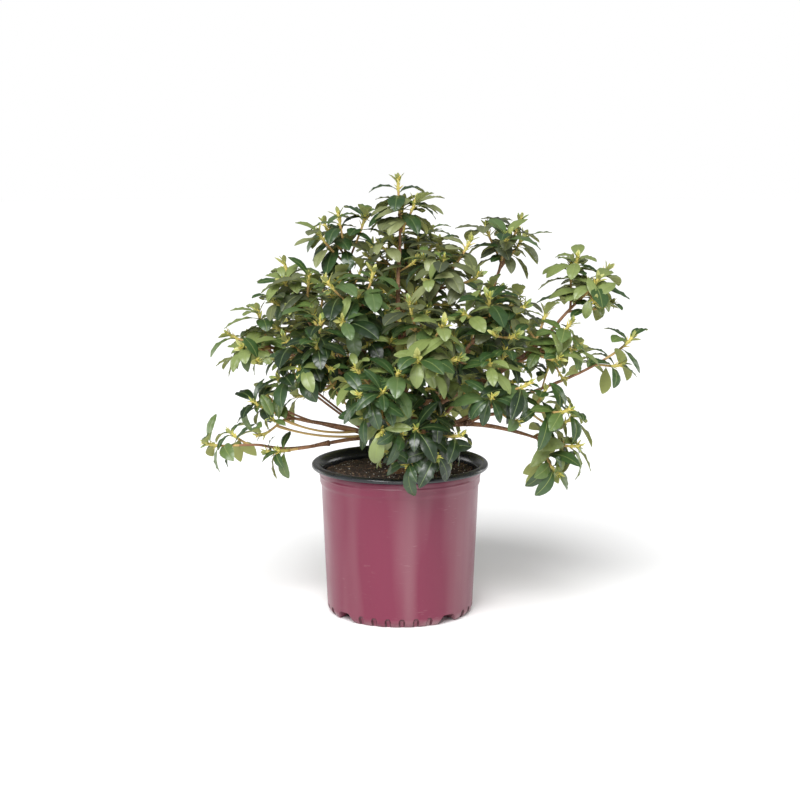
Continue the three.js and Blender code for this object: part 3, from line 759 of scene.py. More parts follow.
def trunk_radius(share, angle=0.0):
    fade = np.maximum(0, 1 - share * TRUNK_HEIGHT / FLARE_REACH) ** 2
    return mix(TRUNK_MIDDLE, TRUNK_TIP, share) + TRUNK_FLARE * fade * (1 + 0.3 * np.cos(4 * angle + 0.6))


def bough_radius(girth):
    return lambda share, angle=0.0: mix(girth[0], girth[1], share**0.8) + 0 * angle


trunk_line = Line(
    (0, 0, MIX_TOP + GAP), (0, 0, MIX_TOP + TRUNK_HEIGHT * 0.55), (*TRUNK_LEAN, MIX_TOP + TRUNK_HEIGHT)
)
limbs = {"trunk": SimpleNamespace(line=trunk_line, radius=trunk_radius)}
masses = []
for name, parent, at, azimuth, reach, height, leave_slope, rise, shoot, tips, fan in ROWS:
    girth = MAIN_BOUGH if parent == "trunk" else SIDE_BOUGH
    start = limbs[parent].line.at(at)
    end = heading(azimuth, rise)
    heart = heading(azimuth, 0) * reach * MILLIMETRE + UP * height * MILLIMETRE
    hub = heart - end * shoot * MILLIMETRE * SEAT
    span = np.linalg.norm(hub - start)
    away = np.degrees(np.arctan2(hub[0] - start[0], start[1] - hub[1]))
    leave = heading(away, leave_slope)
    line = Line(start, start + leave * span * 0.38, hub - end * span * 0.36, hub)
    limbs[name] = SimpleNamespace(line=line, radius=bough_radius(girth))
    masses.append(
        SimpleNamespace(
            name=name, heart=heart, hub=hub, end=end, girth=girth, shoot=shoot * MILLIMETRE, tips=tips,
            fan=fan, rise=rise, reach=reach * MILLIMETRE, height=height * MILLIMETRE, stem=None,
        )
    )


def rings_along(line, radius, relief, sides, spacing):
    """Rings of points round a line, with the girth changed by a relief."""
    shares = np.linspace(0, 1, max(3, int(round(line.length / spacing)) + 1))
    centres, ways = line.at(shares), line.way(shares)
    least = 2 - np.argmin(np.abs(ways[0][::-1]))
    normal = np.cross(ways[0], unit(np.cross(ways[0], np.eye(3)[least])))
    angles = np.arange(sides) * 2 * np.pi / sides
    rings = []
    for share, centre, way in zip(shares, centres, ways):
        normal = unit(normal - way * (normal @ way))
        binormal = np.cross(way, normal)
        girth = np.array([radius(share, a) + relief(a, centre) for a in angles])
        spokes = np.outer(np.cos(angles), normal) + np.outer(np.sin(angles), binormal)
        rings.append(centre + spokes * girth[:, None])
    return np.array(rings)


def bark_relief(depth, ridges, seed):
    """Long cracked ridges with small knots, deeper where depth is larger."""

    def relief(angle, centre):
        x, y = np.cos(angle), np.sin(angle)
        crack = noise.noise(Vector((x * ridges, y * ridges, centre[2] * 26 + seed)) * 1.6)
        knot = noise.noise(Vector((x, y, centre[2] * 70 + centre[0] * 40 + seed)) * 1.3)
        return depth * (crack + 0.7 * max(0, knot))

    return relief


def join_skins(skins):
    """Several skins as one set of points, corners and face sizes, with each skin's number for its faces."""
    points, corners, sizes, owner, offset = [], [], [], [], 0
    for number, (p, c, s) in enumerate(skins):
        points.append(p)
        corners.append(c + offset)
        sizes.append(s)
        owner.append(np.full(len(s), number))
        offset += len(p)
    return np.concatenate(points), np.concatenate(corners), np.concatenate(sizes), np.concatenate(owner)


def bark_finish(name, deep, red, grey, relief):
    """Thin bark: two browns mottled along the limb, with pale grey flecks and a crackled relief."""
    material, tree, shader = new_material(name, 0.72)
    fine = marks(tree, 420, 4)
    browns = two_tone(tree, marks(tree, 55, 5), 0.34, 0.6, deep, red)
    feed(tree, blended(tree, ranged(tree, fine, 0.55, 0.75), browns, (*grey, 1)), shader.inputs["Base Color"])
    raised(tree, shader, fine, relief)
    return material


old_bark = bark_finish("old_bark", (0.11, 0.052, 0.03), (0.34, 0.17, 0.085), (0.48, 0.36, 0.25), 0.0006)
trunk_rings = rings_along(trunk_line, trunk_radius, bark_relief(0.0011, 3.2, 0.0), sides=40, spacing=0.0016)
trunk_skin = skinned(trunk_rings, trunk_line.at(0), trunk_line.at(1) + UP * 0.002)
new_piece("trunk_bark", mesh_of("trunk_bark", *trunk_skin), [old_bark], ["trunk"])


def swollen(radius, length):
    """A bough's girth with the collar where it grows out of its parent."""
    return lambda share, angle=0.0: radius(share, angle) * (1 + 0.45 * np.exp(-share * length / 0.009))


bough_skins = []
for number, mass in enumerate(masses):
    line, radius = limbs[mass.name].line, limbs[mass.name].radius
    relief = bark_relief(0.0006, 2.0, 7.0 * number)
    rings = rings_along(line, swollen(radius, line.length), relief, sides=12, spacing=0.0035)
    bough_skins.append(skinned(rings, line.at(0), line.at(1) + line.way(1) * 0.001))
bough_mesh = mesh_of("bough_bark", *join_skins(bough_skins)[:3])
new_piece("bough_bark", bough_mesh, [old_bark], [f"bough_{mass.name}" for mass in masses])

# From the tip of each bough the shoots of its mass grow on by the same seeded rule as in the solids, and
# finer side twigs leave them. The wood is brown at the foot and yellow-green where this season's leaves sit.
SHOOT_FOOT = 0.002
SHOOT_TIP = 0.0018
SHOOT_FIRST = 0.14  # where on the stem the side shoots leave
SHOOT_LAST = 0.36
SHOOT_TRIES = 6
GOLDEN_ANGLE = 137.5
SPACE_MARGIN = 0.0004
MINGLING = 0.026  # how far neighbouring masses mingle in the middle of the plant, less and less to the sides
MINGLING_REACH = 0.15
LIMB_MARGIN = 0.0012
BUD_ROOM = 0.0035
TWIG_ROOM = 0.002
POT_CLEAR_RADIUS = 0.148
POT_CLEAR_HEIGHT = 0.251
TWIG_LENGTH = 0.046
TWIG_FOOT = 0.0016
TWIG_TIP = 0.0014
TWIG_SIZE = 0.86  # of the leaves on a side twig
SIDE_TWIGS = [0.34, 0.58, 0.46]  # shares of a shoot where side twigs are tried, the last near the trunk only
SIDE_TWIGS_NEAR = 0.215
TIPS_APART = 0.037
GREEN_WOOD = 0.022  # length of the yellow-green end of a shoot
TAN_WOOD = 0.055
# Low at each side a stretch of the plant is bare wood: its two ends along X, the height below which it is
# bare at its right end, and how much that height rises for each unit to the left.
BARE_STRETCHES = [(-0.17, -0.065, 0.312, 0.62), (0.115, 0.185, 0.318, 0)]

hearts = np.array([mass.heart for mass in masses])
wood = SimpleNamespace(points=[], radius=[], owner=[])
for number, limb in enumerate(limbs.values()):
    shares = np.linspace(0, 1, int(np.ceil(limb.line.length / 0.005)) + 1)
    wood.points.append(limb.line.at(shares))
    wood.radius.append(limb.radius(shares))
    wood.owner.append(np.full(len(shares), number - 1))
wood = SimpleNamespace(**{key: np.concatenate(value) for key, value in vars(wood).items()})


def seeded(seed):
    """A repeatable stream of numbers from 0 to 1, the same as the solids use."""
    state = 7919 * (seed + 3)

    def draw():
        nonlocal state
        state = state * 48271 % 2147483647
        return state / 2147483647

    draw()
    return draw


def inside_space(points, number):
    """Whether all points are in the space nearest to this mass, or just over its edge near the trunk."""
    between = np.delete(hearts, number, axis=0) - hearts[number]
    far = np.linalg.norm(between, axis=1)
    along = (points - hearts[number]) @ (between / far[:, None]).T
    over = MINGLING * np.clip(1 - np.abs(points[:, :1]) / MINGLING_REACH, 0, 1)
    return bool(np.all(far / 2 - along > SPACE_MARGIN - over))


def clear_of_wood(points, half_width, own=None):
    reach = np.linalg.norm(points[:, None] - wood.points[None], axis=2) - wood.radius
    if own is not None:
        reach = reach[:, wood.owner != own]
    return bool(np.all(reach > half_width + LIMB_MARGIN))


def clear_of_pot(points):
    far = np.hypot(points[:, 0], points[:, 1]) > POT_CLEAR_RADIUS
    return bool(np.all(far | (points[:, 2] > POT_CLEAR_HEIGHT)))


def in_bare_stretch(points):
    x, z = points[:, 0], points[:, 2]
    return any(
        np.any((x > left) & (x < right) & (z < top + (right - x) * slope))
        for left, right, top, slope in BARE_STRETCHES
    )


def twig_fits(points, number):
    """Whether a side twig is in the space of its mass and off the wood, the pot and the bare stretches."""
    if in_bare_stretch(points):
        return False
    return inside_space(points, number) and clear_of_wood(points, TWIG_ROOM) and clear_of_pot(points)


def apart(tip, others, least):
    return all(np.linalg.norm(tip - other.line.at(1)) > least for other in others)


def shoot_line(mass, reach, index, attempt):
    """A shoot. The first grows on from the bough's tip, and the others leave it and fan out round it."""
    spread = np.radians(mass.fan * np.sqrt((index + 0.35) / mass.tips))
    turn = np.radians(index * GOLDEN_ANGLE + mass.turn + attempt * 47)
    sideways = unit(np.cross(mass.end, UP))
    over = np.cross(sideways, mass.end)
    aim = mass.end * np.cos(spread) + (sideways * np.cos(turn) + over * np.sin(turn)) * np.sin(spread)
    share = 1.1 if index == 0 else 0.72 if mass.tips < 4 else 0.96
    length = mass.shoot * share * mix(0.88, 1.1, reach)
    start, leave = mass.hub + mass.end * GAP, mass.end
    if mass.stem:
        start, leave = mass.stem.at(mix(SHOOT_LAST, SHOOT_FIRST, index / mass.tips)), aim
    tip = mass.hub + mass.end * mass.shoot * 0.25 + aim * length
    finish = unit(aim + UP * 0.55)
    return Line(start, start + leave * length * 0.3, tip - finish * length * 0.3, tip)


def shoot_fits(line, number):
    points = line.at([0.3, 0.5, 0.7, 0.85, 1])
    return inside_space(points, number) and clear_of_wood(points, BUD_ROOM, number) and clear_of_pot(points)


def twig_line(parent, at, turn, length):
    """A side twig: it leaves its shoot at a wide angle and turns up towards the light."""
    axis = parent.way(at)
    sideways = unit(np.cross(axis, UP + 0.2 * axis))
    over = np.cross(sideways, axis)
    out = sideways * np.cos(turn) + over * np.sin(turn)
    start = parent.at(at)
    aim = unit(axis * 0.7 + out)
    tip = start + aim * length
    return Line(start, start + aim * length * 0.35, tip - unit(aim + UP * 0.6) * length * 0.35, tip)


def side_twig(line, seed):
    return SimpleNamespace(line=line, foot=TWIG_FOOT, tip=TWIG_TIP, seed=seed, size=TWIG_SIZE)


shoots = []
for number, mass in enumerate(masses):
    draw = seeded(number)
    mass.turn = draw() * 360
    mass.shoots = []
    for i in range(mass.tips):
        reach = draw()
        for attempt in range(SHOOT_TRIES):
            line = shoot_line(mass, reach, i, attempt)
            if not shoot_fits(line, number):
                continue
            foot = mass.girth[1] if mass.stem is None else SHOOT_FOOT
            seed = 1000 + number * 16 + i
            mass.shoots.append(SimpleNamespace(line=line, foot=foot, tip=SHOOT_TIP, seed=seed, size=1.0))
            mass.stem = mass.stem or line
            break
    for shoot in list(mass.shoots):
        draw = seeded(shoot.seed + 5000)
        turn = draw() * 2 * np.pi
        tried = SIDE_TWIGS if mass.reach < SIDE_TWIGS_NEAR else SIDE_TWIGS[:2]
        for at in tried if mass.tips > 3 and mass.rise < 70 else []:
            length = TWIG_LENGTH * mix(0.75, 1.2, draw())
            turn += np.radians(GOLDEN_ANGLE)
            line = twig_line(shoot.line, at + 0.08 * (draw() - 0.5), turn, length)
            if apart(line.at(1), mass.shoots, TIPS_APART) and twig_fits(line.at([0.5, 0.75, 1]), number):
                mass.shoots.append(side_twig(line, shoot.seed + 6000 + int(at * 100)))
    shoots += mass.shoots

# Short spurs on the boughs fill the inside of the crown, each in the space of the mass that it stands in. The
# low boughs at the sides are bare, so none is tried there.
SPURS = np.linspace(0.3, 0.94, 9)  # shares of a bough where spurs are tried
SPURS_APART = 0.03
SPURS_LOWEST = 0.36  # height below which spurs stand in the middle of the plant only
SPURS_MIDDLE = 0.08

for number, mass in enumerate(masses):
    draw = seeded(9000 + number)
    turn = draw() * 2 * np.pi
    for step, at in enumerate(SPURS):
        turn += np.radians(GOLDEN_ANGLE)
        length = TWIG_LENGTH * mix(0.7, 1.1, draw())
        line = twig_line(limbs[mass.name].line, at, turn, length)
        tip = line.at(1)
        if tip[2] < SPURS_LOWEST and abs(tip[0]) > SPURS_MIDDLE:
            continue
        home = int(np.argmin(np.linalg.norm(hearts - tip, axis=1)))
        if apart(tip, masses[home].shoots, SPURS_APART) and twig_fits(line.at([0.4, 0.7, 1]), home):
            spur = side_twig(line, 9100 + number * 16 + step)
            masses[home].shoots.append(spur)
            shoots.append(spur)

# The low bough at the left forks early into a fan of bare stems, which run on to the shoots of its mass and
# of the two above it.
BARE_STEMS = [0.24, 0.28, 0.32, 0.36, 0.42, 0.48]  # shares of the bough where the stems leave it
BARE_STEM_FOOT = 0.0021
BARE_STEM_TIP = 0.0016

by_name = {mass.name: mass for mass in masses}
low_left, left, front_left = (by_name[name].shoots for name in ("left_low", "left", "front_left"))
reached = [left[0], front_left[0], left[2], low_left[1], low_left[2], low_left[3]]
bare_stems = []
for i, (at, shoot) in enumerate(zip(BARE_STEMS, reached)):
    start, finish = limbs["left_low"].line.at(at), shoot.line.at(0.4)
    bow = np.array([0.0, (-1) ** i * 0.008, -0.01])
    line = Line(start, mix(start, finish, 0.35) + bow, mix(start, finish, 0.7) + bow, finish)
    bare_stems.append(SimpleNamespace(line=line, foot=BARE_STEM_FOOT, tip=BARE_STEM_TIP, seed=9900 + i))


def shoot_radius(shoot):
    """A shoot's girth, which swells a little just under its bud."""

    def radius(share, angle=0.0):
        left = (1 - share) * shoot.line.length
        return mix(shoot.foot, shoot.tip, share**0.7) + 0.0008 * np.exp(-(((left - 0.008) / 0.012) ** 2))

    return radius


TWIG_SIDES = 6
twig_skins = []
twig_tints = []
for shoot in shoots + bare_stems:
    line = shoot.line
    relief = bark_relief(0.00022, 1.5, shoot.seed * 0.37)
    rings = rings_along(line, shoot_radius(shoot), relief, sides=TWIG_SIDES, spacing=0.005)
    twig_skins.append(skinned(rings, line.at(0) - line.way(0) * 0.0012, line.at(1) + line.way(1) * 0.002))
    left = np.linspace(1, 0, len(rings))[:-1] * line.length
    tint = np.where(left < GREEN_WOOD, 2, np.where(left < TAN_WOOD, 1, 0))
    if shoot in bare_stems:
        tint = np.full_like(tint, shoot.seed % 2)
    caps = np.repeat([tint[0], tint[-1]], TWIG_SIDES)
    twig_tints.append(np.concatenate([np.repeat(tint, TWIG_SIDES), caps]))
twig_mesh = mesh_of("twigs", *join_skins(twig_skins)[:3])
twig_mesh.polygons.foreach_set("material_index", np.concatenate(twig_tints).astype(np.int32))
brown_twig = plain_finish("brown_twig", (0.28, 0.14, 0.07), 0.7)
tan_twig = plain_finish("tan_twig", (0.5, 0.33, 0.12), 0.65)
green_twig = plain_finish("green_twig", (0.55, 0.47, 0.13), 0.6)
new_piece("twigs", twig_mesh, [brown_twig, tan_twig, green_twig])

# The leaves stand in whorls round the ends of the shoots, oldest and largest at the bottom, with a few of the
# newest, still narrow, upright and yellow-green, in the middle. Each is a leathery blade with a sunken pale
# midrib, side veins pressed into it and a recurved tip, on a short stalk. Dark, bronze, fresh green and young
# ones are joined by kind, and their tints are dealt out by spray.
LEAF_LENGTH = 0.064
LEAF_WIDTH = 0.375  # of the length
LEAF_WIDTH_HIGH = 0.43  # leaves high on the plant are rounder
LEAF_SPACING = 0.0115  # least distance between the middles of two blades
STALK = 0.09  # share of a leaf's length
SIZES_TRIED = [1, 0.86, 0.7]
WHORL_PLACES = 14
WHORL_MOST = 9
WHORL_SMALLEST = 0.74
WHORL_RISE = (-26, 30)
WHORL_SAG = 0.6
LOWEST_LEAF = 0.07  # distance below the tip of the shoot
HIGHEST_LEAF = 0.006
HIGH = 0.4  # height of a mass whose whorls turn up strongly to the light
LIGHT_ABOVE = 0.9
LIGHT_BELOW = 0.3
SUNNY = -0.15  # the side left of here has the most fresh leaves
YOUNG_PLACES = 4
YOUNG_LENGTH = 0.016
YOUNG_LENGTH_HIGH = 0.023
YOUNG_WIDTH = 0.36
SLANT = np.array([0.31, 0.22, 0.92])  # turns round a shoot are measured from the side of this direction

Leaf = namedtuple("Leaf", "root aim face length width bend fold twist tint")
leaves = {"dark": [], "bronze": [], "fresh": [], "young": []}
taken = SimpleNamespace(places=np.zeros((0, 3)))  # points along the middles of the leaves so far


def outward(axis, turn):
    """The direction straight out from an axis, turned round it."""
    sideways = unit(np.cross(axis, SLANT))
    over = np.cross(axis, sideways)
    return sideways * np.cos(turn) + over * np.sin(turn)


def room_for(number, root, aim, face, length, width):
    """Points along the middle of a leaf that has room, or nothing where it has none."""
    side = unit(np.cross(aim, face))
    half = length * width / 2
    tip = root + aim * length
    widest = root + aim * length * 0.54 + np.cross(side, aim) * length * 0.1
    corners = np.array([root, widest + side * half, tip, widest - side * half, widest])
    middle = np.array([mix(root, widest, 0.7), widest, mix(widest, tip, 0.5), tip])
    if in_bare_stretch(middle):
        return None
    if not (inside_space(corners, number) and clear_of_pot(corners) and clear_of_wood(middle, half * 0.6)):
        return None
    inner = middle[1:]
    near = np.linalg.norm(inner[:, None] - taken.places[None], axis=2)
    return inner if np.min(near, initial=1) >= LEAF_SPACING else None


def main_kind(mass):
    """The kind of most leaves of a mass: bronze on the upright shoots, fresh far out or low, or else dark."""
    if mass.rise > 60:
        return "bronze"
    return "fresh" if mass.reach > 0.23 or mass.height < 0.3 else "dark"


def leaf_kind(mass, share, tint):
    """The kind of one leaf. The highest of a high shoot are fresh, and so are some sprays further out and
    most on the sunny side. Some sprays high up are bronze among dark ones, or dark among bronze ones."""
    kind = main_kind(mass)
    newest = share > 0.86 and mass.height > HIGH
    outer = mass.reach > 0.16 and tint == 2
    sunny = mass.heart[0] < SUNNY and tint > 0
    if kind != "fresh" and (newest or outer or sunny):
        return "fresh"
    if kind == "dark" and mass.height > 0.43 and tint == 0:
        return "bronze"
    if kind == "bronze" and tint == 1:
        return "dark"
    return kind


def whorl_of(mass):
    """The most leaves that a whorl has, and their size: fewer and smaller on the far shoots at the sides."""
    if mass.shoot < 0.05:
        return 5, 0.72
    if mass.tips == 2:
        return WHORL_MOST - 2, 0.88
    return WHORL_MOST, 1


def grow_whorl(number, mass, shoot, draw, first, tint):
    """Sets the leaves round the end of a shoot, each as large as it has room for, and counts them."""
    high = mass.height > HIGH
    broad = LEAF_WIDTH_HIGH if high else LEAF_WIDTH
    turn_up = LIGHT_ABOVE if high else LIGHT_BELOW
    lowest = min(LOWEST_LEAF, shoot.line.length * 0.62)
    most, trim = whorl_of(mass)
    grown = 0
    for i in range(WHORL_PLACES):
        t = i / (WHORL_PLACES - 1)
        jitter, bend, twist, other_tint = draw(), draw(), draw(), draw()
        full = LEAF_LENGTH * shoot.size * mix(1, WHORL_SMALLEST, t**3) * mix(0.84, 1.12, draw()) * trim
        if grown == most or mass.tips == 2 and i % 2:
            continue
        seat = 1 - (HIGHEST_LEAF + (lowest - HIGHEST_LEAF) * (1 - t) ** 1.7) / shoot.line.length
        root, axis = shoot.line.at(seat), unit(shoot.line.way(seat) + UP * turn_up)
        rise = np.radians(mix(*WHORL_RISE, t**1.5) + (jitter - 0.5) * 24)
        aim = outward(axis, np.radians(first + i * GOLDEN_ANGLE)) * np.cos(rise) + axis * np.sin(rise)
        aim = unit(aim - UP * WHORL_SAG * (1 - axis[2]) * (1 - 0.5 * t))
        face = axis + UP * 0.8
        for length in [full * share for share in SIZES_TRIED]:
            middle = room_for(number, root, aim, face, length, broad)
            if middle is None:
                continue
            taken.places = np.concatenate([taken.places, middle])
            leaf = Leaf(
                root, aim, face, length, width=broad * mix(0.82, 1.1, other_tint), bend=mix(46, 108, bend),
                fold=mix(0.1, 0.42, jitter), twist=mix(-22, 22, twist),
                tint=tint if other_tint < 0.75 else (tint + 1) % 3,
            )
            leaves[leaf_kind(mass, t, tint)].append(leaf)
            grown += 1
            break
    return grown


def grow_young(mass, shoot, draw, first, tint):
    """Sets the newest leaves round the bud of a shoot, more and larger ones high on the plant."""
    high = mass.height > HIGH
    longest = YOUNG_LENGTH_HIGH if high else YOUNG_LENGTH
    for i in range(YOUNG_PLACES if shoot.size == 1 and high else 2):
        t = i / YOUNG_PLACES
        seat = 1 - mix(0.008, 0.002, t) / shoot.line.length
        root, axis = shoot.line.at(seat), shoot.line.way(seat)
        turn = np.radians(first + 60 + i * GOLDEN_ANGLE)
        rise = np.radians(mix(48, 74, t) + (draw() - 0.5) * 16)
        aim = unit(outward(axis, turn) * np.cos(rise) + axis * np.sin(rise))
        length = longest * shoot.size * mix(1, 0.55, t) * mix(0.8, 1.15, draw())
        face = axis + unit(axis - aim * (axis @ aim)) * 0.5
        bend, twist = mix(20, 44, draw()), mix(-16, 16, draw())
        leaves["young"].append(Leaf(root, aim, face, length, YOUNG_WIDTH, bend, 0.5, twist, tint))


leafy = []
for number, mass in enumerate(masses):
    for shoot in mass.shoots:
        draw = seeded(shoot.seed)
        first = draw() * 360
        tint = int(draw() * 3)
        if mass.tips == 2:
            tint = 0  # the far shoots at the sides have deep green leaves
        if grow_whorl(number, mass, shoot, draw, first, tint):
            grow_young(mass, shoot, draw, first, tint)
            leafy.append((shoot, draw, first))

# A blade's mesh has rows of six points across its top, at these shares of its length, half-widths and sides
# of the midrib, and under every second row one point below the midrib.
blade_share = np.array([0, 0, 0.1, 0.22, 0.35, 0.48, 0.61, 0.74, 0.86, 0.95, 1])
column_reach = np.array([-1, -0.5, 0, 0, 0.5, 1])
column_rib = np.array([0, 0, -1, 1, 0, 0])
LEAF_ROWS = len(blade_share)
LEAF_COLUMNS = len(column_reach)
LEAF_THICKNESS = 0.0011
QUILTING = 0.026  # depth of the side veins, as a share of the length


def leaf_outline(share):
    """Half-width of a blade, as a share of its greatest, from its base to its tip."""
    return np.sin(np.pi * np.clip(share, 0, 1) ** 1.14) ** 0.74


def leaf_points(batch):
    """Points of many leaves at once, first flat with their folds and veins, then twisted, bent and set."""
    columns = [np.array(column) for column in zip(*batch)]
    root, aim, face = columns[:3]
    length, width, bend, fold, twist = (column[:, None, None] for column in columns[3:8])
    side = np.cross(aim, face)
    side /= np.linalg.norm(side, axis=1, keepdims=True)
    up = np.cross(side, aim)
    bend, twist = np.radians(bend), np.radians(twist)
    reach = np.abs(column_reach)[None, :]
    forward = 0.12 * np.sin(np.pi * blade_share)[:, None] * reach
    blade = np.clip(blade_share[:, None] + forward, 0, 1)
    along = np.where(np.arange(LEAF_ROWS)[:, None] == 0, 0, STALK + (1 - STALK) * blade)[None]
    edge = np.clip(blade_share + 0.12 * np.sin(np.pi * blade_share), 0, 1)
    least = 0.0009 - 0.0006 * blade_share[:, None]
    half = np.maximum(length * width / 2 * leaf_outline(edge)[None, :, None], least)
    scale = (length / LEAF_LENGTH) ** 0.5
    rib = np.minimum(mix(0.0007, 0.00028, blade_share)[None, :, None], half * 0.45) * scale
    x = half * column_reach + rib * column_rib
    crest = np.where(np.arange(LEAF_ROWS) % 2 == 1, 1.0, -0.7)[:, None] * (blade_share[:, None] > 0)
    ripple = np.where(reach == 0.5, 1.0, np.where(reach == 1, 0.2, 0))
    swell = np.sin(np.pi * np.clip(blade_share, 0.02, 0.98))[:, None] ** 0.5
    quilt = QUILTING * length * crest * ripple * swell
    lift = np.abs(x) * fold - x * x / np.maximum(half, 1e-6) * (fold * 0.5 + 0.16)
    z = lift + quilt - np.where(reach == 0, 0.0003, 0)
    under_rows = np.arange(0, LEAF_ROWS, 2)
    below = -np.minimum(LEAF_THICKNESS, half[:, under_rows, 0] * 0.9) * scale[:, 0]
    x = np.concatenate([x.reshape(len(batch), -1), np.zeros((len(batch), len(under_rows)))], axis=1)
    z = np.concatenate([z.reshape(len(batch), -1), below], axis=1)
    along = np.broadcast_to(along, (len(batch), LEAF_ROWS, LEAF_COLUMNS))
    along = np.concatenate([along.reshape(len(batch), -1), along[:, under_rows, 2]], axis=1)
    length, bend, twist = length[:, 0], bend[:, 0], twist[:, 0]
    turned = twist * (along - 0.3)
    x, z = x * np.cos(turned) - z * np.sin(turned), x * np.sin(turned) + z * np.cos(turned)
    slope = bend / 2 - bend * along
    forth = length / bend * (np.sin(bend / 2) - np.sin(slope)) - z * np.sin(slope)
    high = length / bend * (np.cos(slope) - np.cos(bend / 2)) + z * np.cos(slope)
    places = x[..., None] * side[:, None] + forth[..., None] * aim[:, None] + high[..., None] * up[:, None]
    return places + root[:, None]


def leaf_faces():
    """Faces of one leaf, the finish of each and the sharp edges: 0 is on top, 3 midrib and stalk, 4 below."""
    faces, finishes, sharp = [], [], []

    def at(row, column):
        return row * LEAF_COLUMNS + column

    def under(row):
        return LEAF_ROWS * LEAF_COLUMNS + row // 2

    last = LEAF_COLUMNS - 1
    for row in range(LEAF_ROWS - 1):
        for column in range(last):
            faces.append([at(row, column), at(row, column + 1), at(row + 1, column + 1), at(row + 1, column)])
            finishes.append(3 if row == 0 or column == 2 else 0)
        for column in (0, last):
            sharp.append((at(row, column), at(row + 1, column)))
        if row % 2 == 0 and row > 0:
            sharp += [(at(row, column), at(row, column + 1)) for column in (0, 1, 3, 4)]
    for row in range(0, LEAF_ROWS - 1, 2):
        right = [at(row + 2, last), at(row + 1, last), at(row, last)]
        left = [at(row, 0), at(row + 1, 0), at(row + 2, 0)]
        faces.append([under(row), under(row + 2), *right])
        faces.append([under(row), *left, under(row + 2)])
        finishes += [4, 4]
    tip = LEAF_ROWS - 1
    faces.append([at(0, column) for column in reversed(range(LEAF_COLUMNS))] + [under(0)])
    faces.append([at(tip, column) for column in range(LEAF_COLUMNS)] + [under(tip)])
    finishes += [4, 4]
    return faces, np.array(finishes), np.array(sharp)


one_leaf, one_finish, one_sharp = leaf_faces()
one_corners = np.concatenate(one_leaf)
one_sizes = np.array([len(face) for face in one_leaf])
points_each = LEAF_ROWS * LEAF_COLUMNS + (LEAF_ROWS + 1) // 2


def leaf_mesh(name, batch):
    count = len(batch)
    corners = (np.arange(count)[:, None] * points_each + one_corners).ravel()
    mesh = mesh_of(name, leaf_points(batch).reshape(-1, 3), corners, np.tile(one_sizes, count))
    tints = np.array([leaf.tint for leaf in batch])[:, None]
    finishes = np.where(one_finish[None] == 0, tints, one_finish[None])
    mesh.polygons.foreach_set("material_index", finishes.ravel().astype(np.int32))
    ends = np.zeros(len(mesh.edges) * 2, np.int32)
    mesh.edges.foreach_get("vertices", ends)
    ends = np.sort(ends.reshape(-1, 2) % points_each, axis=1)
    codes = ends[:, 0] * points_each + ends[:, 1]
    sharp_codes = one_sharp[:, 0] * points_each + one_sharp[:, 1]
    mesh.edges.foreach_set("use_edge_sharp", np.isin(codes, sharp_codes))
    return mesh


TINTS = {
    "dark": [(0.007, 0.022, 0.005), (0.022, 0.055, 0.014), (0.075, 0.128, 0.04)],
    "bronze": [(0.11, 0.128, 0.055), (0.048, 0.062, 0.03), (0.21, 0.235, 0.1)],
    "fresh": [(0.032, 0.074, 0.016), (0.09, 0.145, 0.034), (0.175, 0.225, 0.066)],
    "young": [(0.16, 0.23, 0.05), (0.26, 0.31, 0.08), (0.42, 0.43, 0.14)],
}
KINDS = {  # midrib, underside, roughness of the upper side and slot
    "dark": ((0.13, 0.18, 0.07), (0.36, 0.4, 0.14), 0.36, "foliage_dark"),
    "bronze": ((0.2, 0.22, 0.09), (0.41, 0.43, 0.14), 0.42, "foliage_bronze"),
    "fresh": ((0.22, 0.27, 0.09), (0.36, 0.4, 0.14), 0.42, "foliage_fresh"),
    "young": ((0.4, 0.4, 0.13), (0.38, 0.4, 0.14), 0.42, "foliage_fresh"),
}
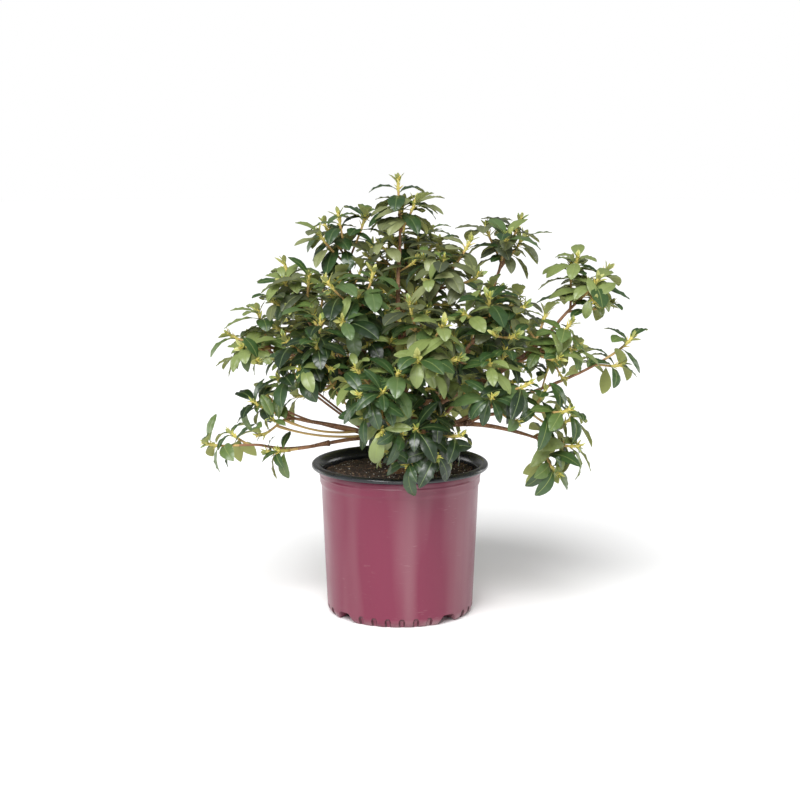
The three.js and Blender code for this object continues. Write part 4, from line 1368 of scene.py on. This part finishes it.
for kind, (midrib, underside, roughness, slot) in KINDS.items():
    finishes = [
        plain_finish(f"{kind}_leaf_{i + 1}", tint, roughness, 0.7) for i, tint in enumerate(TINTS[kind])
    ]
    finishes.append(plain_finish(f"{kind}_midrib", midrib, 0.5, 0.3))
    finishes.append(plain_finish(f"{kind}_underside", underside, 0.65, 0.2))
    replaced = [f"leaves_{mass.name}" for mass in masses if main_kind(mass) == kind]
    new_piece(f"leaves_{kind}", leaf_mesh(f"leaves_{kind}", leaves[kind]), finishes, replaced)

# Each shoot ends in a bud, and loose scales and the stalks of fallen leaves stand round the shoot below it.
# They are small pointed spikes, green and yellow by turns.
SCALES = 12
SCALES_REACH = 0.022
BUD_GIRTH = 0.0021
SCALE_GIRTH = 0.0014
SPIKE_FLATNESS = 0.6
SPIKE_STATIONS = [(0.0, 0.55), (0.35, 1.0), (0.75, 0.6)]  # shares of a spike's length, and of its girth there

quarter_turns = np.arange(4) * np.pi / 2
spike_skins = []
for shoot, draw, first in leafy:
    for i in range(SCALES):
        seat = 1 - SCALES_REACH * (i / SCALES) ** 1.3 / shoot.line.length
        axis = shoot.line.way(seat)
        lean = 0.0 if i == 0 else np.radians(mix(16, 52, draw()))
        aim = axis * np.cos(lean) + outward(axis, np.radians(first + i * GOLDEN_ANGLE)) * np.sin(lean)
        root = shoot.line.at(seat) - axis * 0.002
        length = mix(0.008, 0.015, draw()) * shoot.size
        radius = BUD_GIRTH if i == 0 else SCALE_GIRTH
        sideways = unit(np.cross(aim, SLANT))
        over = np.cross(aim, sideways)
        flat = np.outer(np.sin(quarter_turns), over) * SPIKE_FLATNESS
        spokes = np.outer(np.cos(quarter_turns), sideways) + flat
        rings = [root + aim * length * share + spokes * radius * girth for share, girth in SPIKE_STATIONS]
        spike_skins.append(skinned(rings, root - aim * 0.0005, root + aim * length))
points, corners, sizes, owner = join_skins(spike_skins)
spike_mesh = mesh_of("buds", points, corners, sizes)
spike_mesh.polygons.foreach_set("material_index", (owner % 2).astype(np.int32))
bud_green = plain_finish("bud_green", (0.46, 0.47, 0.09), 0.5)
bud_yellow = plain_finish("bud_yellow", (0.66, 0.54, 0.12), 0.5)
new_piece("buds", spike_mesh, [bud_green, bud_yellow])
